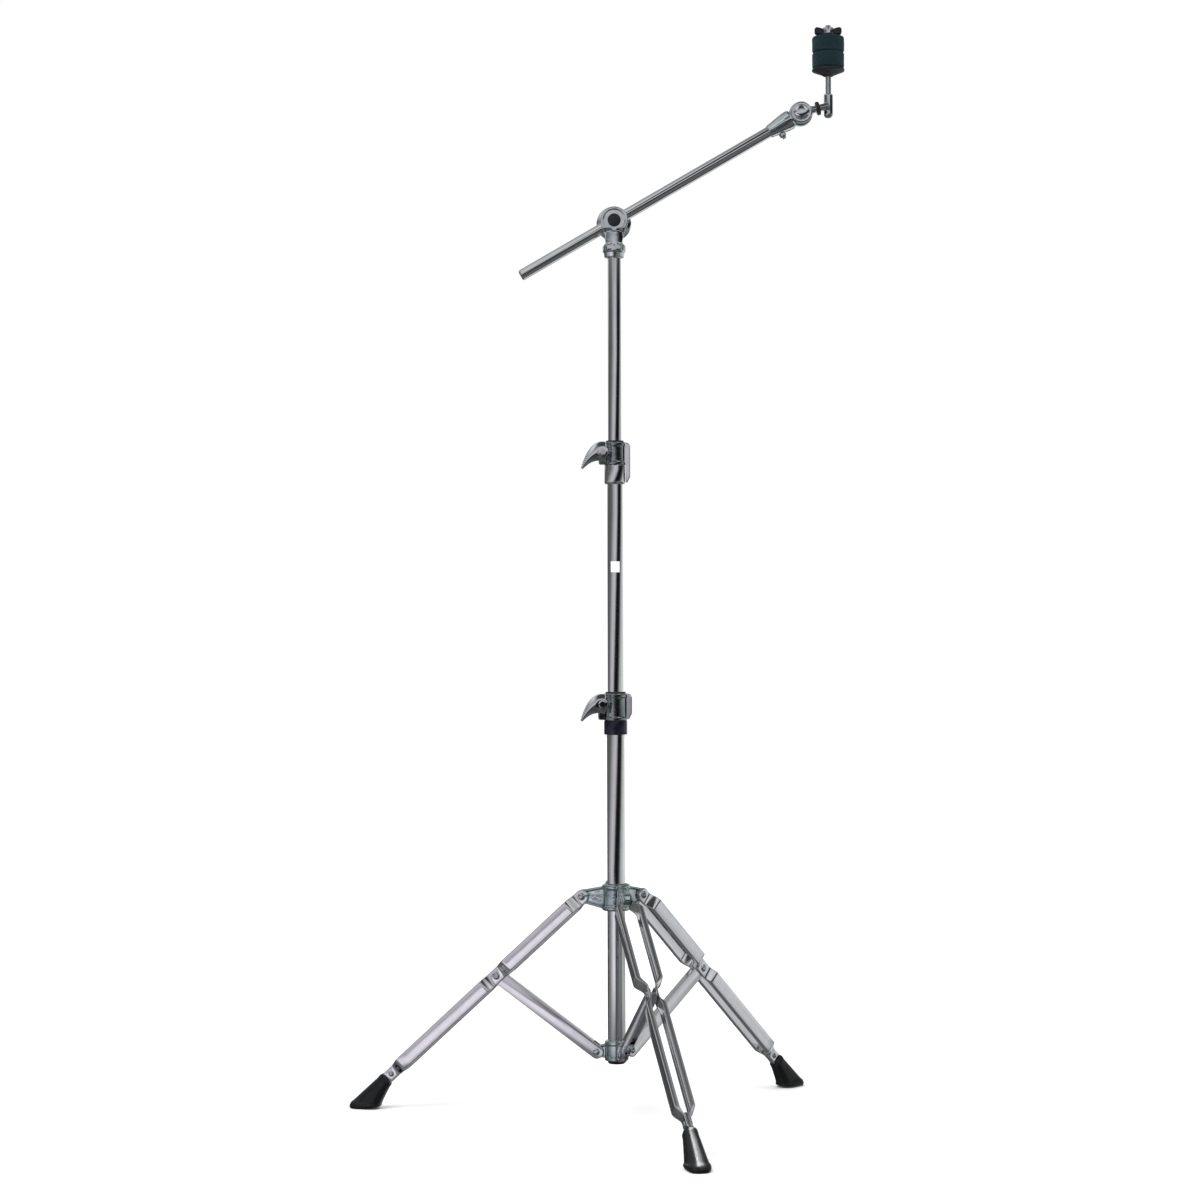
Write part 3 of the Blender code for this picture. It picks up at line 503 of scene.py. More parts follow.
def wool_felt():
    """Dense dyed felt: matted fibres, paler lint and a soft sheen."""
    look = Look("felt_dark_teal", (0.018, 0.046, 0.055), 0.0, 0.95)
    matted = look.noise(520, 8, 0.75, (1, 1, 1.7), 1.2)
    lint = look.noise(1500, 4, 0.7, (1, 1, 0.35), 2.0)
    broad = look.noise(85, 3, 0.5)
    base = look.ramp(matted, [(0.28, (0.0022, 0.0080, 0.0105)), (0.52, (0.0070, 0.0215, 0.0270)),
                              (0.80, (0.0210, 0.0500, 0.0590))])
    mixer = look.node("ShaderNodeMix", data_type="RGBA", blend_type="MULTIPLY")
    mixer.inputs[0].default_value = 0.55
    look.link(base, mixer.inputs[6])
    look.link(look.ramp(broad, [(0.3, 0.55), (0.7, 1.0)]), mixer.inputs[7])
    look.colour(mixer.outputs[2])
    look.bump((matted, 0.75, 0.0010), (lint, 0.5, 0.0005))
    look.shader.inputs["Sheen Weight"].default_value = 0.12
    look.shader.inputs["Sheen Roughness"].default_value = 0.5
    look.shader.inputs["Sheen Tint"].default_value = (0.45, 0.62, 0.66, 1)
    look.shader.inputs["Specular IOR Level"].default_value = 0.15
    return look.made


def paper_label():
    look = Look("blank_label_film", (0.86, 0.86, 0.84), 0.0, 0.35)
    look.colour(look.ramp(look.noise(180, 4, 0.6), [(0.3, (0.78, 0.78, 0.76)), (0.7, (0.90, 0.90, 0.88))]))
    look.bump((look.noise(600, 3, 0.6), 0.08, 0.0002))
    return look.made


CHROME = plated("chrome_plate", (0.93, 0.935, 0.94), (0.86, 0.87, 0.88), 0.045, 0.09, 0.05)
SHEET = plated("chrome_sheet", (0.94, 0.93, 0.95), (0.86, 0.86, 0.88), 0.07, 0.13, 0.07)
CASTING = cast_metal("chrome_casting", (0.88, 0.91, 0.92), (0.56, 0.64, 0.65), 0.06, 0.13, 0.22)
# The hub castings take a darker, teal-tinted copy of the casting finish: painted shade that stands in for the dark
# reflections on the hubs
HUB = cast_metal("hub_casting", (0.66, 0.74, 0.75), (0.30, 0.40, 0.41), 0.06, 0.13, 0.26)
DARK = cast_metal("clamp_casting", (0.46, 0.50, 0.51), (0.28, 0.33, 0.34), 0.08, 0.16, 0.12)
ZINC = cast_metal("zinc_plate", (0.76, 0.77, 0.77), (0.58, 0.60, 0.61), 0.20, 0.32, 0.06)
RUBBER = moulded("moulded_rubber", (0.0048, 0.0058, 0.0064), (0.0022, 0.0027, 0.003), 0.27, 0.36, 500, 0.02)
NYLON = moulded("black_nylon", (0.014, 0.016, 0.018), (0.007, 0.008, 0.009), 0.30, 0.45, 1200, 0.10)
NAVY = moulded("navy_plastic", (0.006, 0.006, 0.017), (0.003, 0.003, 0.008), 0.12, 0.22, 1500, 0.05)
FELT = wool_felt()
LABEL = paper_label()


# ------------------------ column

def tube(name, radius, body):
    low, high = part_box(name)
    wall = sleeve(radius, radius - TUBE_WALL, low.z, high.z, 0.0005, 96)
    piece(name + "_plated", body, CHROME, wall, COLUMN, name)


def column():
    tube("base_tube", BASE_TUBE_R, "base")
    tube("middle_tube", MIDDLE_TUBE_R, "middle_column")
    tube("upper_tube", UPPER_TUBE_R, "upper_column")
    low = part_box("base_tube")[0].z
    plug = BASE_TUBE_R - TUBE_WALL - GAP
    cap = shaft([(plug - 0.0010, low + 0.011), (plug, low + 0.009), (plug, low - GAP),
                 (BASE_TUBE_R, low - GAP), (BASE_TUBE_R, low - 0.0025), (BASE_TUBE_R - 0.0015, low - 0.004)],
                ROUND, 0.0008)
    piece("tube_end_cap_moulded", "base", RUBBER, cap, COLUMN, "tube_end_cap")
    blank_label()


def blank_label():
    """A plain sticker wrapped round the front of the middle tube."""
    low, high, spread = 0.7795, 0.7950, 34
    inner, outer = MIDDLE_TUBE_R + 0.00002, MIDDLE_TUBE_R + 0.00016
    outline = arc((0, 0), outer, -90 - spread, -90 + spread, 16)
    outline += arc((0, 0), inner, -90 + spread, -90 - spread, 16)
    film = moved(prism(outline, high - low), at(0, 0, (low + high) / 2))
    piece("blank_label", "middle_column", LABEL, film, COLUMN)


# ------------------------ rivets and screws

def rivet(shank, reach, head, rise):
    """A semi-tubular rivet along Z: domed heads whose inner faces lie at reach, one with a dimple."""
    pit = head * 0.36
    dome = [(head * (1 - (1 - t) ** 2) ** 0.5, reach + rise * (1 - t)) for t in (0.08, 0.2, 0.36, 0.55, 0.78, 1.0)]
    upper = [(pit * 0.55, reach + rise * 0.35), (pit, reach + rise * 0.95)]
    upper += [(r, z) for r, z in dome if r > pit * 1.15] + [(head, reach + 0.00005), (shank, reach)]
    lower = [(shank, -reach), (head, -reach)]
    lower += [(head * cos(radians(a)), -reach - rise * sin(radians(a))) for a in (25, 50, 72)]
    return lathe([(0, upper[0][1])] + upper + lower + [(0, -reach - rise)], 40)


def bolt_head(outline, corner, steps, low, high, chamfer, chamfer_steps):
    """A flat-sided screw head with its corners turned down."""
    head = prism(rounded(outline, corner, steps), high - low, chamfer, chamfer_steps)
    return moved(head, at(0, 0, (low + high) / 2))


def hex_head(across, low, high):
    return bolt_head(hexagon(across), 0.0004, 2, low, high, 0.0006, 2)


def square_head(across, low, high):
    return bolt_head(rectangle(across, across), 0.0008, 3, low, high, 0.0007, 3)


def wing_outline(span, root, tip, height):
    """A pair of thumb wings in XY, hollowed between their tips."""
    half = span / 2
    right = [(half * 0.98, height * 0.34)] + arc((half - tip, height - tip), tip, -10, 120, 8)
    right += bend((half - tip * 1.6, height - tip * 0.75), (root * 1.15, height * 0.66),
                  (root, height * 0.42), 5)[1:]
    low = [(0, -height * 0.03), (half * 0.45, 0), (half * 0.78, height * 0.10)]
    return low + right + mirrored(right) + mirrored(low[1:])


def winged(name, body, material, matrix, node, core, wings, grain, hole=None):
    """A thumb nut or bolt head: its turned core and its wings cast in one."""
    mesh = cast(name, [core, wings], grain, 4, [hole] if hole else ())
    piece(name, body, material, mesh, matrix, node, 60)


# ------------------------ hubs

def ear_parts(start, pivot, radius, top, low, half, web):
    """A hub ear in XZ: a thin web between two rails, and a boss round the rivet."""
    tip = arc(pivot, radius, 75, -100, 14)
    outline = [(start, low), (start, top)] + tip
    rail = 0.0034
    upper = [(start, top - rail), (start, top), (tip[0][0], tip[0][1]), (tip[0][0], tip[0][1] - rail)]
    lower = [(start, low), (tip[-1][0], tip[-1][1]), (tip[-1][0], tip[-1][1] + rail), (start, low + rail)]
    rails = [plate(rounded(line, 0.0008, 2), 2 * half, 0.0009) for line in (upper, lower)]
    boss = moved(shaft([(radius - 0.001, half), (radius, half - 0.001), (radius, 0.001 - half),
                        (radius - 0.001, -half)], 48, 0), UPRIGHT, at(pivot[0], 0, pivot[1]))
    return [plate(outline, 2 * web, 0.0006), *rails, boss]


def banded(steps, low, high, bore, soften):
    """A barrel with the same (radius, distance from the end) steps at its top and at its foot."""
    wall = [(r, high - d) for r, d in steps] + [(r, low + d) for r, d in reversed(steps)]
    return ring(wall + [(bore, low), (bore, high)], 96, soften)


def ears(*sizes):
    """The same ear for each leg."""
    return [moved(shape, turn("Z", AZIMUTH[side])) for side in SIDES for shape in ear_parts(*sizes)]


def brace_hub():
    low, high = 0.0835, 0.112
    radius = 0.017
    barrel = banded([(radius - 0.0008, 0), (radius, 0.0012), (radius, 0.0050), (radius - 0.0010, 0.0062)],
                    low, high, BASE_TUBE_R + GAP, 0.0005)
    middle = at(0, 0, (low + high) / 2)
    lug = moved(shaft([(0.0052, 0.0178), (0.0058, 0.0170), (0.0062, 0.0135)], 40, 0), HUB_BOLT, middle)
    hole = moved(rod(0.0026, 0.0131, 0.03), HUB_BOLT, middle)
    shapes = [barrel, *ears(0.0140, (BRACE_PIVOT_R, BRACE_PIVOT_Z), 0.0080, 0.108, 0.0865, 0.0033, 0.0024), lug]
    mesh = cast("brace_hub_casting", shapes, 0.0005, 3, [hole])
    piece("brace_hub_casting", "base", HUB, mesh, COLUMN, "brace_hub", 50)
    screw = [shaft([(0.0024, 0.0181), (0.0021, 0.0132)], 24), square_head(0.0052, 0.0180, 0.0199),
             shaft([(0.0040, 0.0186), (0.0040, 0.0180)], 32, 0.0001)]
    piece("brace_hub_key_screw", "base", ZINC, screw, COLUMN @ middle @ HUB_BOLT, "brace_hub_screw")


def leg_hub():
    low, high = 0.297, 0.335
    radius, bush = 0.020, 0.0156
    bore = bush + GAP
    barrel = banded([(radius - 0.0015, 0), (radius, 0.0015), (radius, 0.0062), (radius - 0.0014, 0.0080)],
                    low, high, bore, 0.0008)
    middle = at(0, 0, (low + high) / 2)
    lug = moved(shaft([(0.0083, 0.030), (0.0094, 0.0288), (0.0098, 0.0160)], 56, 0), HUB_BOLT, middle)
    shapes = [barrel, *ears(0.0172, (LEG_PIVOT_R, LEG_PIVOT_Z), 0.0095, 0.3318, 0.2988, 0.0050, 0.0030), lug]
    cutters = [moved(rod(0.0043, 0.0158, 0.05), HUB_BOLT, middle), rod(bore, low - 0.01, high + 0.01, 96)]
    mesh = cast("leg_hub_casting", shapes, 0.00062, 3, cutters)
    piece("leg_hub_casting", "leg_hub", HUB, mesh, COLUMN, "leg_hub", 50)
    liner = ring([(bush, high), (bush, low), (BASE_TUBE_R + GAP, low), (BASE_TUBE_R + GAP, high)], 96, 0.0005)
    piece("leg_hub_liner", "leg_hub", NYLON, liner, COLUMN, "leg_hub_bush")

    core = shaft([(0.0058, 0.0420), (0.0072, 0.0405), (0.0080, 0.0330), (0.0062, 0.0306)], 48, 0.0006)
    wings = moved(plate(wing_outline(0.040, 0.0045, 0.0042, 0.017), 0.0052, 0.0019, 4), at(0, 0, 0.0335))
    bolt = COLUMN @ middle @ HUB_BOLT
    winged("hub_wing_bolt_head", "hub_bolt", CHROME, bolt, "leg_hub_wing_bolt", core, wings, 0.00045)
    piece("hub_wing_bolt_shank", "hub_bolt", ZINC, thread(0.0040, 0.0162, 0.0312), bolt)


# ------------------------ legs

FOOT_NECK, FOOT_FLAT, FOOT_RIVET, STRIP_END = 0.376, 0.390, 0.391, 0.400      # along a leg from its hub pivot


def strip_spread(x):
    """Inner half gap of a leg at a distance from its hub pivot."""
    steps = [(0.008, 0.022, JOINT_SPREAD, UPPER_SPREAD),
             (BRACE_AT - 0.0245, BRACE_AT - 0.0095, UPPER_SPREAD, JOINT_SPREAD),
             (BRACE_AT + 0.0095, BRACE_AT + 0.0235, JOINT_SPREAD, LOWER_SPREAD),
             (0.3665, 0.3835, LOWER_SPREAD, FOOT_SPREAD)]
    spread = JOINT_SPREAD
    for start, end, before, after in steps:
        if x >= start:
            spread = before + (after - before) * smooth_step((x - start) / (end - start))
    return spread


def strip_half(x):
    """Half height of a leg strip: round at the hub end, slimmer where it enters the foot."""
    full = STRIP_HALF_HEIGHT
    if x < 0:
        return sqrt(max(full ** 2 - x ** 2, 0.0))
    return full - 0.0014 * smooth_step((x - 0.366) / 0.020)


def strip_lip(x):
    """Depth of the folded lips: deep along the runs, none where the strip is pressed flat."""
    plain, deep = 0.0022, 0.0068
    near = min(abs(x), abs(x - BRACE_AT), abs(x - FOOT_FLAT))
    return plain + (deep - plain) * smooth_step((near - 0.010) / 0.013)


def leg_strip(side, letter, way):
    """One pressed channel of a leg, its folded lips turned in."""
    stations = [-0.00985, -0.0093, -0.0083, -0.0066, -0.0044, -0.0020]
    x = 0.0
    while x < STRIP_END:
        stations.append(x)
        jog = any(abs(x - c) < 0.020 for c in (0.012, BRACE_AT - 0.016, BRACE_AT + 0.016, FOOT_NECK))
        x += 0.0020 if jog else 0.012
    stations.append(STRIP_END)
    corner = 0.0013
    shape = bmesh.new()
    rows = []
    for x in stations:
        half, outer, lip = strip_half(x), strip_spread(x) + STRIP_SHEET, strip_lip(x)
        fold = min(corner, half * 0.45, lip * 0.9)
        section = [(outer - lip, half)]
        section += [(outer - fold + fold * sin(t), half - fold + fold * cos(t))
                    for t in (radians(a) for a in (0, 22.5, 45, 67.5, 90))]
        section += [(y, -z) for y, z in reversed(section)]
        rows.append([shape.verts.new((x, way * y, z)) for y, z in section])
    for first, second in zip(rows, rows[1:]):
        for i in range(len(first) - 1):
            corners = [first[i], second[i], second[i + 1], first[i + 1]]
            shape.faces.new(corners if way > 0 else corners[::-1])
    mesh = evaluated(to_mesh("strip", [shape]),
                     ("SOLIDIFY", {"thickness": STRIP_SHEET, "offset": -1, "use_even_offset": True}),
                     ("BEVEL", {"width": 0.00035, "segments": 2, "limit_method": "ANGLE",
                                "angle_limit": radians(55)}))
    piece(f"leg_{side}_channel_{letter}", f"leg_{side}", SHEET, mesh, LEG[side], f"leg_{side}_strip_{letter}", 42)
    head = 0.0055
    dome = lathe([(0, 0.0010), (0.0012, 0.0011), (0.0020, 0.0020), (0.0032, 0.0020), (0.0046, 0.0013),
                  (head, 0.0003), (head, -0.0003), (0, -0.0003)], 40)
    piece(f"leg_{side}_brace_rivet_head_{letter}", f"leg_{side}", CASTING, dome,
          LEG[side] @ at(BRACE_AT, way * (JOINT_SPREAD + STRIP_SHEET), 0) @ turn("X", -way * pi / 2))


def oval(half_u, half_v, corner, count=7):
    """A rounded rectangle as a loop of evenly shared points."""
    points = []
    for su, sv, start in ((1, 1, 0), (-1, 1, 90), (-1, -1, 180), (1, -1, 270)):
        points += arc((su * (half_u - corner), sv * (half_v - corner)), corner, start, start + 90, count)
    return points


BOOT_LEVELS = [         # share of the way from mouth to sole, half width in the leg's plane and across it
    (0.015, 0.0062, 0.0052), (0.0, 0.0072, 0.0062), (0.0, 0.0088, 0.0080), (0.012, 0.0099, 0.0092),
    (0.04, 0.0107, 0.0100), (0.09, 0.0110, 0.0103), (0.13, 0.0109, 0.0102), (0.30, 0.0126, 0.0112),
    (0.50, 0.0151, 0.0123), (0.68, 0.0180, 0.0132), (0.76, 0.0196, 0.0137), (0.80, 0.0205, 0.0142),
    (0.825, 0.0217, 0.0152), (0.85, 0.0222, 0.0157), (0.89, 0.0222, 0.0158), (0.93, 0.0214, 0.0154),
    (0.965, 0.0200, 0.0146), (0.988, 0.0184, 0.0135), (1.0, 0.0166, 0.0122)]


def rubber_foot(side):
    """A rubber boot lofted from the leg's section to a flat sole, with a rolled mouth and a flared lip."""
    mouth, sole_r = 0.402, 0.3835
    top = (LEG_PIVOT_R + mouth * cos(LEG_SLOPE), LEG_PIVOT_Z - mouth * sin(LEG_SLOPE))
    normal = (sin(LEG_SLOPE), cos(LEG_SLOPE))
    shape = bmesh.new()
    loops = []
    for share, half_u, half_v in BOOT_LEVELS:
        centre = (top[0] + (sole_r - top[0]) * share, top[1] * (1 - share))
        across = Vector((normal[0] + (1 - normal[0]) * share, normal[1] * (1 - share))).normalized()
        loops.append([shape.verts.new((centre[0] + u * across.x - LEG_PIVOT_R, v,
                                       centre[1] + u * across.y - LEG_PIVOT_Z))
                      for u, v in oval(half_u, half_v, 0.82 * min(half_u, half_v))])
    count = len(loops[0])
    for upper, lower in zip(loops, loops[1:]):
        for i in range(count):
            j = (i + 1) % count
            shape.faces.new([upper[i], lower[i], lower[j], upper[j]])
    shape.faces.new(loops[0])
    shape.faces.new(loops[-1][::-1])
    bmesh.ops.recalc_face_normals(shape, faces=shape.faces)
    level = Matrix.Translation(LEG_PIVOT[side]) @ turn("Z", AZIMUTH[side])
    return piece(f"leg_{side}_boot", f"leg_{side}", RUBBER, shape, level, f"leg_{side}_rubber_foot", 60)


def leg(side):
    body = f"leg_{side}"
    leg_strip(side, "a", 1)
    leg_strip(side, "b", -1)
    pin = rivet(0.0030, JOINT_SPREAD + STRIP_SHEET + 0.0001, 0.0055, 0.0023)
    piece(body + "_pivot_rivet", body, CASTING, pin, LEG[side] @ UPRIGHT, body + "_hub_rivet")
    end, half = 0.434, 0.0082
    shank = plate(rounded([(FOOT_NECK, -half), (end, -half), (end, half), (FOOT_NECK, half)], 0.003, 4),
                  0.0054, 0.0010)
    piece(body + "_foot_blade", body, SHEET, shank, LEG[side], body + "_foot_shank")
    pin = rivet(0.0025, FOOT_SPREAD + STRIP_SHEET + 0.0001, 0.0042, 0.0017)
    piece(body + "_foot_rivet", body, CASTING, pin, LEG[side] @ at(FOOT_RIVET) @ UPRIGHT)
    return rubber_foot(side)


def brace(side):
    """A folded channel with rounded open ends."""
    body = f"brace_{side}"
    radius, half, sheet, open_to = 0.010, 0.0050, 0.0014, 0.0125
    outline = arc((0, 0), radius, 90, 270, 20) + arc((BRACE_LENGTH, 0), radius, -90, 90, 20)
    inner = 2 * (half - sheet)
    trough = block((BRACE_LENGTH + 0.05, inner, 0.020), (BRACE_LENGTH / 2, 0, -sheet))
    openings = [block((0.04, inner, 0.03), (x, 0, 0)) for x in (open_to - 0.02, BRACE_LENGTH - open_to + 0.02)]
    mesh = machined(to_mesh("brace", [plate(outline, 2 * half, 0.0009, 4)]), [trough, *openings])
    piece(body + "_channel", body, SHEET, mesh, BRACE[side], body, 30)
    pin = rivet(0.0030, half + 0.0001, 0.0050, 0.0019)
    piece(body + "_pivot_rivet", body, CASTING, pin, BRACE[side] @ UPRIGHT, body + "_rivet")


# ------------------------ height clamps

def fin_lever(name, body, matrix):
    """A lever nut with one swept fin, its faces crowned and thinning towards the tip."""
    outer = bend((0.0045, 0.0142), (-0.0192, 0.0198), (-0.0312, -0.0215), 24)
    tip = arc((-0.0295, -0.0222), 0.0020, 170, 300, 6)
    inner = bend((-0.0284, -0.0240), (-0.0140, -0.0085), (0.0030, -0.0136), 20)
    round_boss = arc((-0.0005, 0), 0.0085, -50, 50, 8)
    centre_y = -0.0207
    fin = moved(plate(outer + tip + inner + round_boss, 0.0076, 0.0010), at(0, centre_y, 0))
    boss = moved(shaft([(0.0050, 0.0247), (0.0060, 0.0238), (0.0066, 0.0180), (0.0066, 0.0113)], 48, 0), UPRIGHT)
    hole = moved(rod(0.0031, 0.0100, 0.0225), UPRIGHT)
    mesh = cast(name + "_fin", [fin, boss], 0.00045, 4, [hole])
    rims = [[Vector(point) for point in edge] for edge in (outer, inner)]
    for vertex in mesh.vertices:
        here = Vector((vertex.co.x, vertex.co.z))
        above, below = (min((here - point).length for point in rim) for rim in rims)
        off_middle = (above - below) / max(above + below, 1e-6)
        crown = 1.05 - 0.62 * off_middle ** 2 - max(0.0, here.length - 0.010) / 0.07
        share = 1 + (crown - 1) * smooth_step((here.length - 0.0062) / 0.005)
        vertex.co.y = centre_y + (vertex.co.y - centre_y) * share
    piece(name + "_fin", body, CHROME, mesh, matrix, name + "_fin_lever", 60)


def back_rib(name, body, outer_r, rib_low, middle, high):
    """The rib down the back of a clamp, flaring away from the tube."""
    root, face = outer_r - 0.0025, outer_r + 0.0002
    back = [(root, high - 0.0006), (root, rib_low + 0.0004), (outer_r + 0.0030, rib_low),
            (outer_r + 0.0070, rib_low + 0.008)]
    back += arc((face, high - 0.0074), 0.0068, 0, 90, 8)
    if rib_low < middle - 0.002:        # it stands clear of the collar below the casting
        back[1] = (root, middle + 0.0006)
        back[2:2] = [(face + 0.0004, middle + 0.0006), (face + 0.0004, rib_low)]
    mesh = cast(name + "_rib", [plate(rounded(back, 0.0012), 0.0074, 0.0010)], 0.0005, 3)
    for vertex in mesh.vertices:
        vertex.co.y *= 1 + 0.55 * (vertex.co.x - root) / 0.0095
    piece(name + "_rib", body, SHEET, mesh, COLUMN, None, 60)


def clamp(name, body, levels, outer_r, bush_r, tube_r, lower_tube, rib_low, dark_collar):
    """A split clamp on one tube's top, with its bolt, fin lever, collar and nylon bush.

    levels are the collar's foot, the casting's foot and its top; lower_tube is (radius, top).
    """
    low, middle, high = levels
    bore, seat, step, neck = bush_r + GAP, lower_tube[0] + GAP, lower_tube[1] + GAP, outer_r - 0.0018
    groove = outer_r - 0.0006
    barrel = ring([(outer_r - 0.0012, high), (outer_r, high - 0.0014), (outer_r, high - 0.0060),
                   (groove, high - 0.0066), (groove, middle + 0.0050), (outer_r, middle + 0.0044),
                   (outer_r, middle), (neck, middle), (neck, low + 0.001), (seat, low + 0.001), (seat, step),
                   (bore, step), (bore, high)], 96, 0.0004)
    bolt_x, half, ear_top, ear_low = -(bore + 0.0052), 0.00625, high - 0.004, middle + 0.001
    ear = plate(rounded([(bolt_x - half, ear_low), (bolt_x + half, ear_low), (bolt_x + half, ear_top),
                         (bolt_x - half, ear_top)], 0.0035, 5), 0.0214, 0.0014)
    bolt_at = at(bolt_x, 0, high - 0.0155)
    boss = moved(shaft([(0.0058, 0.0107), (0.0064, 0.0100), (0.0064, -0.0100), (0.0058, -0.0107)], 48, 0),
                 UPRIGHT, bolt_at)
    back_rib(name, body, outer_r, rib_low, middle, high)
    slit_high = high - middle + 0.008
    slit = block((0.020, 0.0026, slit_high), (-(bore + 0.0080), 0, middle + 0.002 + slit_high / 2))
    clear = shaft([(bore, high + 0.01), (bore, step), (seat, step), (seat, low - 0.005)], 96, 0)
    hole = moved(rod(0.0031, -0.03, 0.03), UPRIGHT, bolt_at)
    mesh = cast(name + "_casting", [barrel, ear, boss], 0.00052, 2, [clear, slit, hole])
    piece(name + "_casting", body, DARK, mesh, COLUMN, name + "_body", 45)

    bolt = COLUMN @ bolt_at
    piece(name + "_bolt_head", body, ZINC, hex_head(0.0096, -0.0149, -0.0109), bolt @ UPRIGHT, name + "_bolt")
    piece(name + "_bolt_shank", body, ZINC, thread(0.0028, -0.0112, 0.0222, *FINE), bolt @ UPRIGHT)
    fin_lever(name, name + "_lever", bolt)

    foot = [(outer_r, low)] if dark_collar else [(outer_r, low + 0.0030), (outer_r - 0.0008, low)]
    collar = ring([(outer_r, middle - GAP), *foot, (neck + 0.0001, low), (neck + 0.0001, middle - GAP)],
                  96, 0.0011 if dark_collar else 0.0007)
    piece(name + "_ferrule", body, NAVY if dark_collar else CHROME, collar, COLUMN, name + "_collar")
    inside, lip = tube_r + 0.0002, bush_r + 0.0012
    liner = ring([(lip, high + 0.0018), (lip, high + GAP), (bush_r, high + GAP), (bush_r, step + GAP),
                  (inside, step + GAP), (inside, high + 0.0018)], 96, 0.0005)
    piece(name + "_liner", name + "_swivel", NYLON, liner, COLUMN, name + "_bush")


# ------------------------ boom holder

def boom_yoke():
    """A socket on the upper tube, melted into two round cheeks on waisted stalks."""
    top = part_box("upper_tube")[1].z
    pivot_z = joint_at("boom_tilt").z
    bore = UPPER_TUBE_R + GAP
    socket = shaft([(0.0115, top + 0.006), (0.0165, top + 0.0005), (0.0165, top - 0.0075), (0.0150, top - 0.0085),
                    (0.0140, top - 0.0155), (0.0130, top - 0.016), (bore, top - 0.016), (bore, top)], 96, 0.0006)
    stalk = bend((-0.0171, -0.0099), (-0.0115, -0.0250), (-0.0105, -0.0425), 8)[1:]
    outline = arc((0, 0), CHEEK_R, -30, 210, 40) + stalk + mirrored(stalk)
    depth = CHEEK_OUTER - CHEEK_INNER
    cheeks = [moved(plate(outline, depth, 0.0012, 4), at(0, way * (CHEEK_INNER + depth / 2), pivot_z))
              for way in (-1, 1)]
    recess = moved(ring([(0.0173, 0.0195), (0.0165, 0.0153), (0.0148, 0.0150), (0.0135, 0.0195)], 72, 0.0004),
                   UPRIGHT, at(0, 0, pivot_z))
    hole = moved(rod(0.0043, -0.03, 0.03, 40), UPRIGHT, at(0, 0, pivot_z))
    mesh = cast("boom_yoke_casting", [socket, *cheeks], 0.00055, 2,
                [recess, hole, rod(bore, top - 0.030, top + GAP, 96)])
    for vertex in mesh.vertices:        # the stalks are slimmer at their edges than at the middle
        here = vertex.co
        share = smooth_step((pivot_z - 0.011 - here.z) / 0.006) * smooth_step((here.z - top - 0.0005) / 0.004)
        here.y *= 1 - 0.20 * share * min(1.0, (here.x / 0.0115) ** 2)
    piece("boom_yoke_casting", "upper_column", CASTING, mesh, COLUMN, "boom_yoke", 45)


def boom_holder():
    boom_yoke()
    eye = ring([(0.0112, 0.0074), (0.0116, 0.0060), (0.0116, -0.0060), (0.0112, -0.0074), (0.0097, -0.0074),
                (0.0097, 0.0074)], ROUND, 0.0006)
    piece("boom_eye_ring", "boom_holder", ZINC, eye, BOOM, "boom_eye_bolt")
    stem = shaft([(0.0040, -0.0104), (0.0040, -0.0176)], 40)
    piece("boom_eye_stem", "boom_holder", ZINC, stem, TILT @ UPRIGHT)
    piece("boom_eye_thread", "boom_holder", ZINC, thread(0.0040, 0.0170, 0.0338), TILT @ BACKWARD)
    disc = ring([(DISC_R - 0.0014, 0.0058), (DISC_R, 0.0044), (DISC_R, 0.0030), (DISC_R - 0.0012, 0.0018),
                 (DISC_R - 0.0060, 0), (0.0044, 0), (0.0044, 0.0050), (0.0105, 0.0050), (0.0122, 0.0034),
                 (0.0188, 0.0034), (0.0205, 0.0058)], 112, 0.0005)
    piece("boom_ratchet_disc", "boom_holder", CHROME, disc, TILT @ at(0, CHEEK_OUTER + GAP, 0) @ BACKWARD,
          "boom_tilt_disc")
    outside = CHEEK_OUTER + 0.0001
    screw = shaft([(0.0046, outside + 0.0034), (0.0088, outside + 0.0026), (0.0094, outside + 0.0006),
                   (0.0094, outside), (0.0040, outside), (0.0040, CHEEK_INNER)], 64, 0.0007)
    piece("boom_pivot_cap", "boom_holder", NYLON, screw, TILT @ UPRIGHT, "boom_front_screw")
    core = ring([(0.0043, 0.0105), (0.0064, 0.0105), (0.0078, 0.0088), (0.0096, 0.0010), (0.0090, 0),
                 (0.0043, 0)], 56, 0.0005)
    wings = moved(plate(wing_outline(0.044, 0.0055, 0.0050, 0.018), 0.0056, 0.0021, 4), at(0, 0, 0.0022))
    nut = TILT @ at(0, CHEEK_OUTER + 2 * GAP + 0.0058, 0) @ BACKWARD
    winged("boom_wing_nut_casting", "holder_nut", CHROME, nut, "boom_wing_nut", core, wings, 0.00045,
           rod(0.0041, -0.002, 0.03, 40))
    grip = sleeve(0.0095, BOOM_R + 0.0002, -0.0085, 0.0085, 0.0005)
    piece("boom_grip_sleeve", "boom_grip", NYLON, grip, BOOM, "boom_sleeve")


# ------------------------ boom

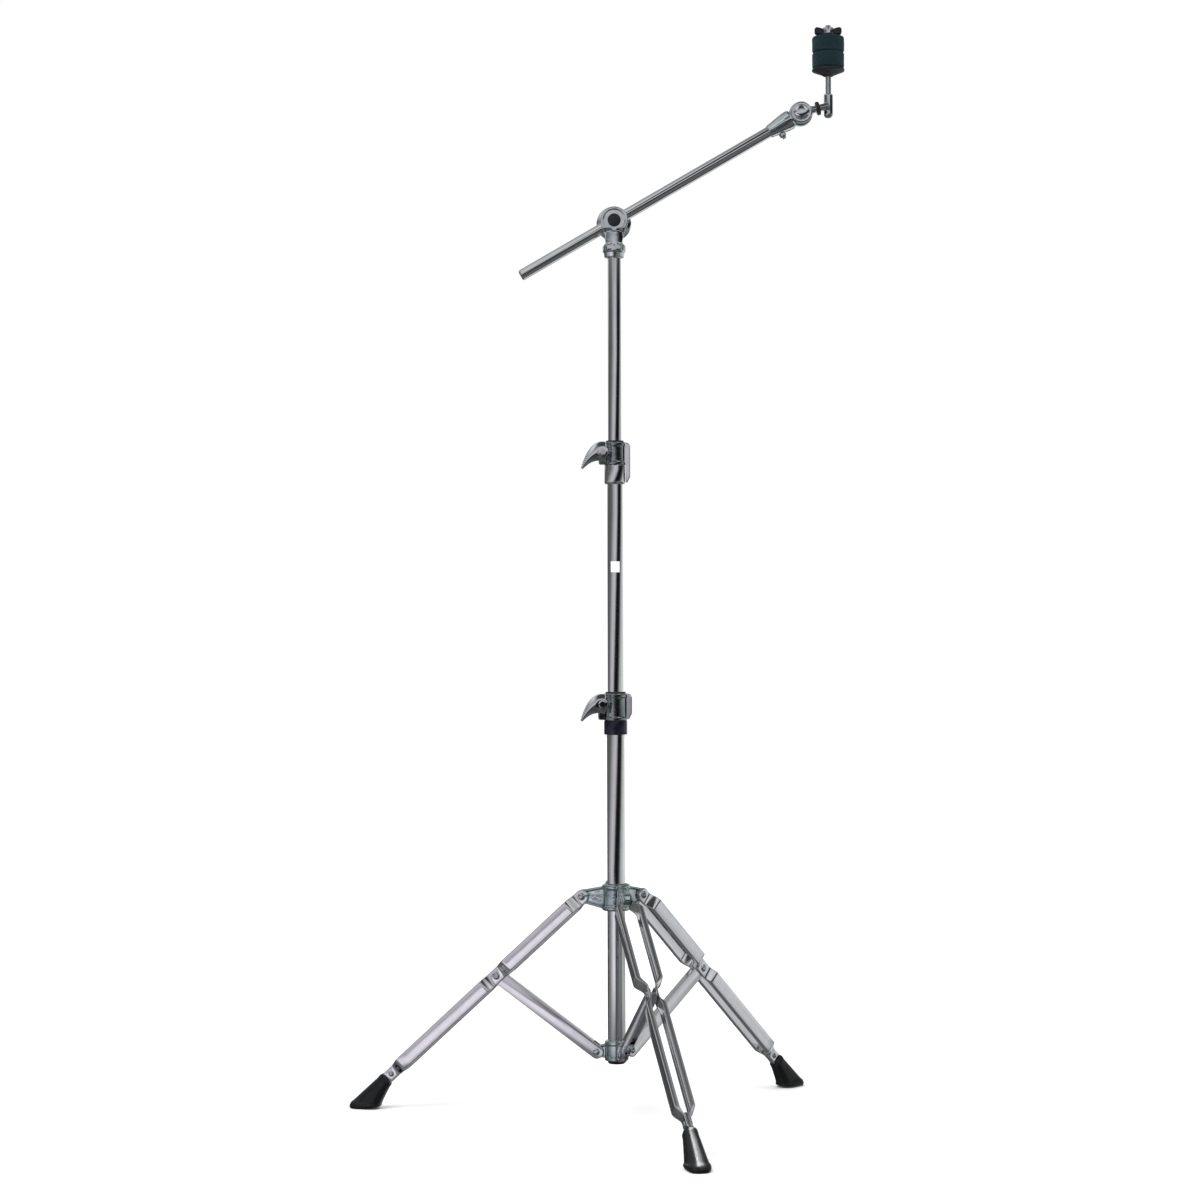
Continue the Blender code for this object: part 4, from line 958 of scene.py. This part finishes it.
def boom():
    tail, start, finish_at = -0.155, 0.257, 0.292       # tail plug, and both ends of the cone
    end = start + 0.006
    wall = sleeve(BOOM_R, BOOM_R - TUBE_WALL, tail + 0.0023, end, 0.0004, 80)
    piece("boom_tube_plated", "boom", CHROME, wall, BOOM, "boom_tube")
    inside = BOOM_R - TUBE_WALL - GAP
    base = tail + 0.002
    plug = shaft([(inside - 0.0008, base + 0.011), (inside, base + 0.010), (inside, base), (BOOM_R, base),
                  (BOOM_R, base - 0.0006), (BOOM_R - 0.0012, base - 0.0016), (BOOM_R - 0.0035, base - 0.0020)],
                 64, 0.0005)
    piece("boom_tail_cap", "boom", CHROME, plug, BOOM, "boom_tail_plug")

    bore = BOOM_R + 0.0001
    cone = shaft([(0.0125, finish_at + 0.003), (0.0140, finish_at), (0.0136, finish_at - 0.008),
                  (0.0098, start + 0.004), (0.0092, start), (bore, start), (bore, end + GAP)], 80, 0.0007)
    head_at, lug_at = at(0, 0, HEAD_AT), at(0.0128, 0, 0.2720)
    head = moved(ring([(0.0158, 0.0120), (0.0170, 0.0108), (0.0170, 0.0006), (0.0033, 0.0006), (0.0033, 0.0120)],
                      72, 0.0008), BACKWARD, head_at)
    neck = block((0.021, 0.0100, 0.016), (0, 0.0062, HEAD_AT - 0.0165), 0.0015)
    lug = moved(shaft([(0.0040, 0.0040), (0.0048, 0.0030), (0.0052, -0.0090)], 40, 0), ALONG_X, lug_at)
    cutters = [moved(rod(0.0160, -0.020, 0.0002, 72), BACKWARD, head_at),
               moved(rod(0.0033, -0.01, 0.03, 40), BACKWARD, head_at), rod(bore, start - 0.01, end, 80)]
    mesh = cast("boom_end_casting", [cone, head, neck, lug], 0.00048, 3, cutters)
    piece("boom_end_casting", "boom", CASTING, mesh, BOOM, "boom_end_fitting", 45)
    piece("boom_end_key_screw", "boom", ZINC, square_head(0.0050, 0.0038, 0.0068), BOOM @ lug_at @ ALONG_X)


# ------------------------ cymbal end

def ratchet_face(inner, outer, depth, teeth=36):
    """A ring of radial teeth on a disc, facing +Z from z = 0."""
    shape = bmesh.new()
    rows = []
    steps = teeth * 4
    for radius in (inner, outer):
        row = []
        for k in range(steps):
            angle = 2 * pi * k / steps
            high = depth * (1 - abs((k % 4) / 2 - 1))
            row.append([shape.verts.new((radius * cos(angle), radius * sin(angle), z)) for z in (high, -0.0004)])
        rows.append(row)
    for k in range(steps):
        j = (k + 1) % steps
        (a, al), (b, bl) = rows[0][k], rows[0][j]
        (c, cl), (d, dl) = rows[1][k], rows[1][j]
        for corners in ([a, c, d, b], [c, cl, dl, d], [al, bl, dl, cl], [b, bl, al, a]):
            shape.faces.new(corners)
    bmesh.ops.recalc_face_normals(shape, faces=shape.faces)
    return shape


def tilter(to_rod, rod_low):
    """The ratchet disc, its leaning arm and the rod holder, with the tilter's bolt and wing nut."""
    rise, bar_y = 0.0100, -0.0055
    length, lean = hypot(to_rod, rise), atan2(rise, to_rod)
    bar_turn = turn("Y", pi / 2 - lean)
    low, high = 1.430 - HEAD_Z, 1.465 - HEAD_Z
    disc = moved(ring([(0.0143, 0.0115), (0.0155, 0.0103), (0.0155, 0.0003), (0.0033, 0.0003), (0.0033, 0.0115)],
                      72, 0.0008), UPRIGHT)
    bar = moved(shaft([(0.0050, length), (0.0050, 0.020), (0.0058, 0.014), (0.0066, 0.008)], 48, 0),
                bar_turn, at(0, bar_y, 0))
    holder = moved(lathe(rounded([(0, high), (0.0050, high), (0.0066, high - 0.0014), (0.0066, low + 0.004),
                                  (0.0041, low + 0.0008), (0, low)], 0.0012, 4, False), 64), at(to_rod))
    bore = moved(rod(0.0042, rod_low - GAP, high + 0.01, 48), at(to_rod))
    hole = moved(rod(0.0033, -0.01, 0.03, 40), UPRIGHT)
    mesh = cast("tilter_arm_casting", [disc, bar, holder], 0.00045, 3, [bore, hole])
    piece("tilter_arm_casting", "tilter", CASTING, mesh, HEAD, "tilter_arm", 45)
    teeth = moved(ratchet_face(0.0085, 0.0150, 0.00035), BACKWARD, at(0, -0.0003, 0))
    piece("tilter_arm_teeth", "tilter", CASTING, teeth, HEAD, None, 15)
    collar = sleeve(0.0096, 0.0051, 0.0222, 0.0272, 0.0010, 56)
    piece("tilter_bar_collar", "tilter", NYLON, collar, HEAD @ at(0, bar_y, 0) @ bar_turn, "tilter_collar")
    bolt = shaft([(0.0030, 0.0160), (0.0062, 0.0156), (0.0090, 0.0147), (0.0107, 0.0132), (0.0112, 0.0117),
                  (0.0030, 0.0117), (0.0030, -0.0125)], 72, 0.0012)
    piece("tilter_bolt_head", "tilter", CHROME, bolt, HEAD @ UPRIGHT, "tilter_bolt")
    piece("tilter_bolt_thread", "tilter", ZINC, thread(0.0030, 0.0120, 0.0215, *FINE), HEAD @ BACKWARD)
    core = ring([(0.0033, 0.0080), (0.0049, 0.0080), (0.0060, 0.0070), (0.0071, 0.0008), (0.0065, 0),
                 (0.0033, 0)], 48, 0.0004)
    wings = moved(plate(wing_outline(0.032, 0.0042, 0.0038, 0.013), 0.0044, 0.0016, 4), at(0, 0, 0.0018))
    winged("tilter_wing_nut_casting", "tilter_nut", CHROME, HEAD @ at(0, 0.0123, 0) @ BACKWARD, "tilter_wing_nut",
           core, wings, 0.00040, rod(0.0031, -0.002, 0.03, 40))


def ends(name):
    """Bottom and top of a CAD node, measured from the tilter's pivot."""
    return [corner.z - HEAD_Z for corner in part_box(name)]


def cymbal_end():
    """The tilter and all that sits on the cymbal rod."""
    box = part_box("cymbal_rod")
    to_rod = (box[0].x + box[1].x) / 2 - HEAD_X
    rod_low, rod_high = ends("cymbal_rod")
    tilter(to_rod, rod_low)
    axis = HEAD @ at(to_rod)
    lower, upper = ends("lower_felt"), ends("upper_felt")
    stem = shaft([(0.0040, upper[0] + 0.001), (0.0040, rod_low)], 48)
    piece("cymbal_rod_stem", "tilter", ZINC, stem, axis, "cymbal_rod")
    piece("cymbal_rod_thread", "tilter", ZINC, thread(0.0040, upper[0], rod_high - 0.0001), axis)
    low, high = ends("cymbal_seat_washer")
    seat = ring([(FELT_R - 0.0008, high), (FELT_R, high - 0.0008), (FELT_R, high - 0.0038), (0.0150, low + 0.0042),
                 (0.0086, low + 0.0016), (0.0066, low), (0.0042, low), (0.0042, high)], ROUND, 0.0007)
    piece("cymbal_seat_cup", "tilter", NYLON, seat, axis, "cymbal_seat_washer")
    spacer = sleeve(0.0060, 0.0042, lower[0], upper[1] - 0.001, 0.0004)
    piece("cymbal_rod_spacer", "tilter", NYLON, spacer, axis, "cymbal_rod_sleeve")
    felt("lower_felt", "tilter", *lower, axis, 1)
    felt("upper_felt", "felt_top", *upper, axis, 2)
    cymbal_nut(axis, *ends("cymbal_wing_nut"))


def felt(node, body, low, high, matrix, seed):
    """A thick felt washer: soft rims, a slightly swollen wall and matted, uneven fibres."""
    outer, inner, edge = FELT_R - 0.0003, 0.0064, 0.0030
    rim = outer - edge
    rows = 16
    foot, crown = low + edge, high - edge
    faces = [inner + (rim - inner) * t for t in (0.35, 0.7)]
    profile = [(inner, low + 0.0003), (inner + 0.0006, low)] + [(r, low) for r in faces]
    profile += arc((rim, foot), edge, -90, 0, 6)
    profile += [(outer, foot + (crown - foot) * (i / rows)) for i in range(1, rows)]
    profile += arc((rim, crown), edge, 0, 90, 6)
    profile += [(r, high) for r in reversed(faces)] + [(inner + 0.0006, high), (inner, high - 0.0003)]
    shape = lathe(list(reversed(profile)), 120, True)
    shape.normal_update()
    for vertex in shape.verts:
        rough = noise.fractal(vertex.co * 260 + Vector((seed * 7.3, 0, 0)), 0.9, 2.1, 3)
        broad = noise.noise(vertex.co * 70 + Vector((0, seed * 3.1, 0)))
        vertex.co += vertex.normal * (0.00013 * rough + 0.00022 * broad - 0.00012)
    piece(node + "_washer", body, FELT, shape, matrix, node, 180)


def cymbal_nut(axis, low, high):
    """A moulded wing nut with a bright metal insert that holds its thread."""
    core = ring([(0.0046, high - 0.0016), (0.0070, high - 0.0020), (0.0074, low + 0.0035), (0.0095, low + 0.0015),
                 (0.0095, low), (0.0046, low)], 56, 0.0005)
    height, half, lobe = 0.0122, 0.0195, 0.0036
    right = [(0.0060, 0)] + bend((half - 0.0042, 0.0006), (half - 0.0004, 0.0010), (half, 0.0048), 5)
    right += arc((half - lobe, height - lobe), lobe, 0, 105, 9)[1:]
    right += bend((half - 1.9 * lobe, height - 0.0006), (0.0090, height * 0.84), (0.0060, height * 0.80), 4)
    wings = moved(plate([(0, 0)] + right + mirrored(right), 0.0074, 0.0022, 4), at(0, 0, low + 0.0014))
    hole = shaft([(0.0068, high + 0.01), (0.0068, low + 0.0030), (0.0050, low + 0.0026),
                  (0.0050, low - 0.01)], 48, 0)
    winged("cymbal_nut_wings", "cymbal_nut", NAVY, axis, "cymbal_wing_nut", core, wings, 0.00042, hole)
    insert = ring([(0.0060, high), (0.0078, high - 0.0010), (0.0082, high - 0.0092), (0.0066, high - 0.0098),
                   (0.0066, low + 0.0032), (0.0049, low + 0.0028), (0.0049, low + 0.0005), (0.0041, low + 0.0005),
                   (0.0041, high)], 56, 0.0004)
    piece("cymbal_nut_insert", "cymbal_nut", CHROME, insert, axis)


# ------------------------ studio

def camera():
    """The viewing place, about 3.8 m in front of the stand and a little under half its height."""
    made = bpy.data.cameras.new("camera")
    made.sensor_width = 36.0
    made.lens = 79.4
    made.clip_end = 60
    thing = placed("camera", made)
    yaw, pitch, roll = radians(0.472), radians(0.759), radians(0.185)
    thing.location = (-0.0235, -3.7344, 0.690)
    look = Vector((sin(yaw) * cos(pitch), cos(yaw) * cos(pitch), sin(pitch)))
    thing.rotation_mode = "QUATERNION"
    thing.rotation_quaternion = look.to_track_quat("-Z", "Y") @ Quaternion((0, 0, 1), -roll)
    bpy.context.scene.camera = thing


def floor():
    shape = bmesh.new()
    bmesh.ops.create_circle(shape, cap_ends=True, radius=14, segments=96)
    mesh = to_mesh("floor", [shape])
    look = Look("pale_floor", (0.93, 0.93, 0.925), 0.0, 0.85)
    look.colour(look.ramp(look.noise(2.5, 4, 0.5), [(0.3, (0.915, 0.915, 0.91)), (0.7, (0.945, 0.945, 0.94))]))
    look.shader.inputs["Specular IOR Level"].default_value = 0.1
    mesh.materials.append(look.made)
    thing = placed("floor", mesh)
    thing.location.z = -0.0002
    thing.visible_glossy = False


def world():
    """A studio seen only in reflections: pale walls, a slanting dark flag beside the camera, a dark ceiling.

    Diffuse surfaces and the camera see plain white instead.
    """
    made = bpy.data.worlds.new("studio")
    made.use_nodes = True
    made.node_tree.nodes.clear()
    tree = Nodes(made.node_tree)
    node, link = tree.node, tree.link

    def math(operation, *sources):
        thing = node("ShaderNodeMath", operation=operation)
        for source, socket in zip(sources, thing.inputs):
            if isinstance(source, (int, float)):
                socket.default_value = source
            else:
                link(source, socket)
        return thing.outputs[0]

    def span(source, low, high, kind="SMOOTHSTEP"):
        """0 at low, 1 at high, smooth between."""
        thing = node("ShaderNodeMapRange", interpolation_type=kind, **{"From Min": low, "From Max": high})
        link(source, thing.inputs["Value"])
        return thing.outputs["Result"]

    def wall(source, pairs):
        """Brightness round the room; each pair is (azimuth in degrees, grey or colour)."""
        stops = []
        for azimuth, grey in pairs:
            colour = grey if isinstance(grey, tuple) else (grey * 0.97, grey, grey * 1.01)
            stops.append(((azimuth + 180) / 360, colour))
        return tree.ramp(span(source, -180, 180, "LINEAR"), stops)

    def mix(share, first, second):
        thing = node("ShaderNodeMix", data_type="RGBA")
        for source, slot in ((share, 0), (first, 6), (second, 7)):
            link(source, thing.inputs[slot])
        return thing.outputs[2]

    split = node("ShaderNodeSeparateXYZ")
    link(node("ShaderNodeTexCoord").outputs["Generated"], split.inputs[0])
    backwards = math("MULTIPLY", split.outputs["Y"], -1.0)
    azimuth = math("MULTIPLY", math("ARCTAN2", split.outputs["X"], backwards), 180 / pi)
    height = math("MULTIPLY", math("ARCSINE", split.outputs["Z"]), 180 / pi)
    slant = math("MULTIPLY", math("MINIMUM", math("MAXIMUM", height, -4.0), 11.0), -4.6)
    level = wall(math("WRAP", math("ADD", azimuth, slant), 180.0, -180.0), [
        (-180, 0.55), (-163, 0.16), (-150, 0.08), (-120, 0.10), (-98, 0.12), (-72, 0.34),
        (-44, (0.52, 0.50, 0.55)), (-22, (0.42, 0.41, 0.45)), (-6, 0.05), (4, 0.006), (38, 0.006), (56, 0.09),
        (74, 0.40), (98, 0.50), (128, 0.69), (158, 0.72), (180, 0.55)])
    low = wall(azimuth, [
        (-180, 0.45), (-162, 0.08), (-140, 0.05), (-108, 0.11), (-80, 0.26), (-56, (0.50, 0.48, 0.54)),
        (-30, (0.84, 0.81, 0.89)), (-15, (0.40, 0.40, 0.43)), (-2, 0.05), (16, 0.05), (41, 0.22), (62, 0.15),
        (78, 0.26), (92, 0.58), (106, 0.30), (140, 0.5), (180, 0.45)])
    under = wall(azimuth, [
        (-180, 0.14), (-120, 0.08), (-80, 0.14), (-50, 0.20), (-20, 0.10), (5, 0.05), (38, 0.13), (80, 0.07),
        (112, 0.06), (127, 0.75), (143, 0.75), (158, 0.14), (180, 0.14)])
    over = wall(azimuth, [
        (-180, 0.30), (-125, 0.30), (-80, 0.55), (-46, 0.42), (-26, 0.75), (-15, 0.05), (17, 0.04), (32, 0.66),
        (80, 0.36), (120, 0.16), (150, 0.20), (180, 0.30)])
    ceiling = wall(azimuth, [(-180, 0.12), (-60, 0.18), (20, 0.24), (90, 0.07), (150, 0.06), (180, 0.12)])
    room_colour = level
    for start, end, band in ((-4.6, -6.6, low), (-12, -20, under), (13, 30, over), (62, 76, ceiling)):
        room_colour = mix(span(height, start, end), room_colour, band)
    room = node("ShaderNodeBackground")
    link(room_colour, room.inputs["Color"])
    plain = node("ShaderNodeBackground")
    plain.inputs["Color"].default_value = (1, 1, 1, 1)
    choose = node("ShaderNodeMixShader")
    link(node("ShaderNodeLightPath").outputs["Is Glossy Ray"], choose.inputs[0])
    link(plain.outputs[0], choose.inputs[1])
    link(room.outputs[0], choose.inputs[2])
    link(choose.outputs[0], node("ShaderNodeOutputWorld").inputs["Surface"])
    bpy.context.scene.world = made


def lights(boot):
    """A broad soft light from the upper left, and a strip above that only glances off the front boot."""
    key = bpy.data.lights.new("key", "SUN")
    key.energy = 1.6
    key.angle = radians(35)
    thing = placed("key", key)
    thing.rotation_euler = (radians(28), radians(-24), 0)
    thing.visible_glossy = False
    strip = bpy.data.lights.new("boot_strip", "AREA")
    strip.shape = "RECTANGLE"
    strip.size, strip.size_y = 0.46, 2.4
    strip.energy = 95
    lamp = placed("boot_strip", strip)
    lamp.location = (0.42, 0.10, 1.9)
    lamp.visible_camera = False
    lit = bpy.data.collections.new("boots")
    lit.objects.link(boot)
    lamp.light_linking.receiver_collection = lit


bpy.context.scene.view_settings.view_transform = "Standard"
column()
brace_hub()
leg_hub()
BOOTS = [leg(SIDE) for SIDE in SIDES]
for SIDE in SIDES:
    brace(SIDE)
BASE_TOP, MIDDLE_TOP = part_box("base_tube")[1].z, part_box("middle_tube")[1].z
clamp("clamp_1", "base", (0.548, 0.568, 0.607), 0.0165, 0.0133, MIDDLE_TUBE_R,
      (BASE_TUBE_R, BASE_TOP), 0.570, True)
clamp("clamp_2", "middle_column", (0.906, 0.933, 0.966), 0.0150, 0.0115, UPPER_TUBE_R,
      (MIDDLE_TUBE_R, MIDDLE_TOP), 0.908, False)
boom_holder()
boom()
cymbal_end()
world()
lights(BOOTS[0])
floor()
camera()
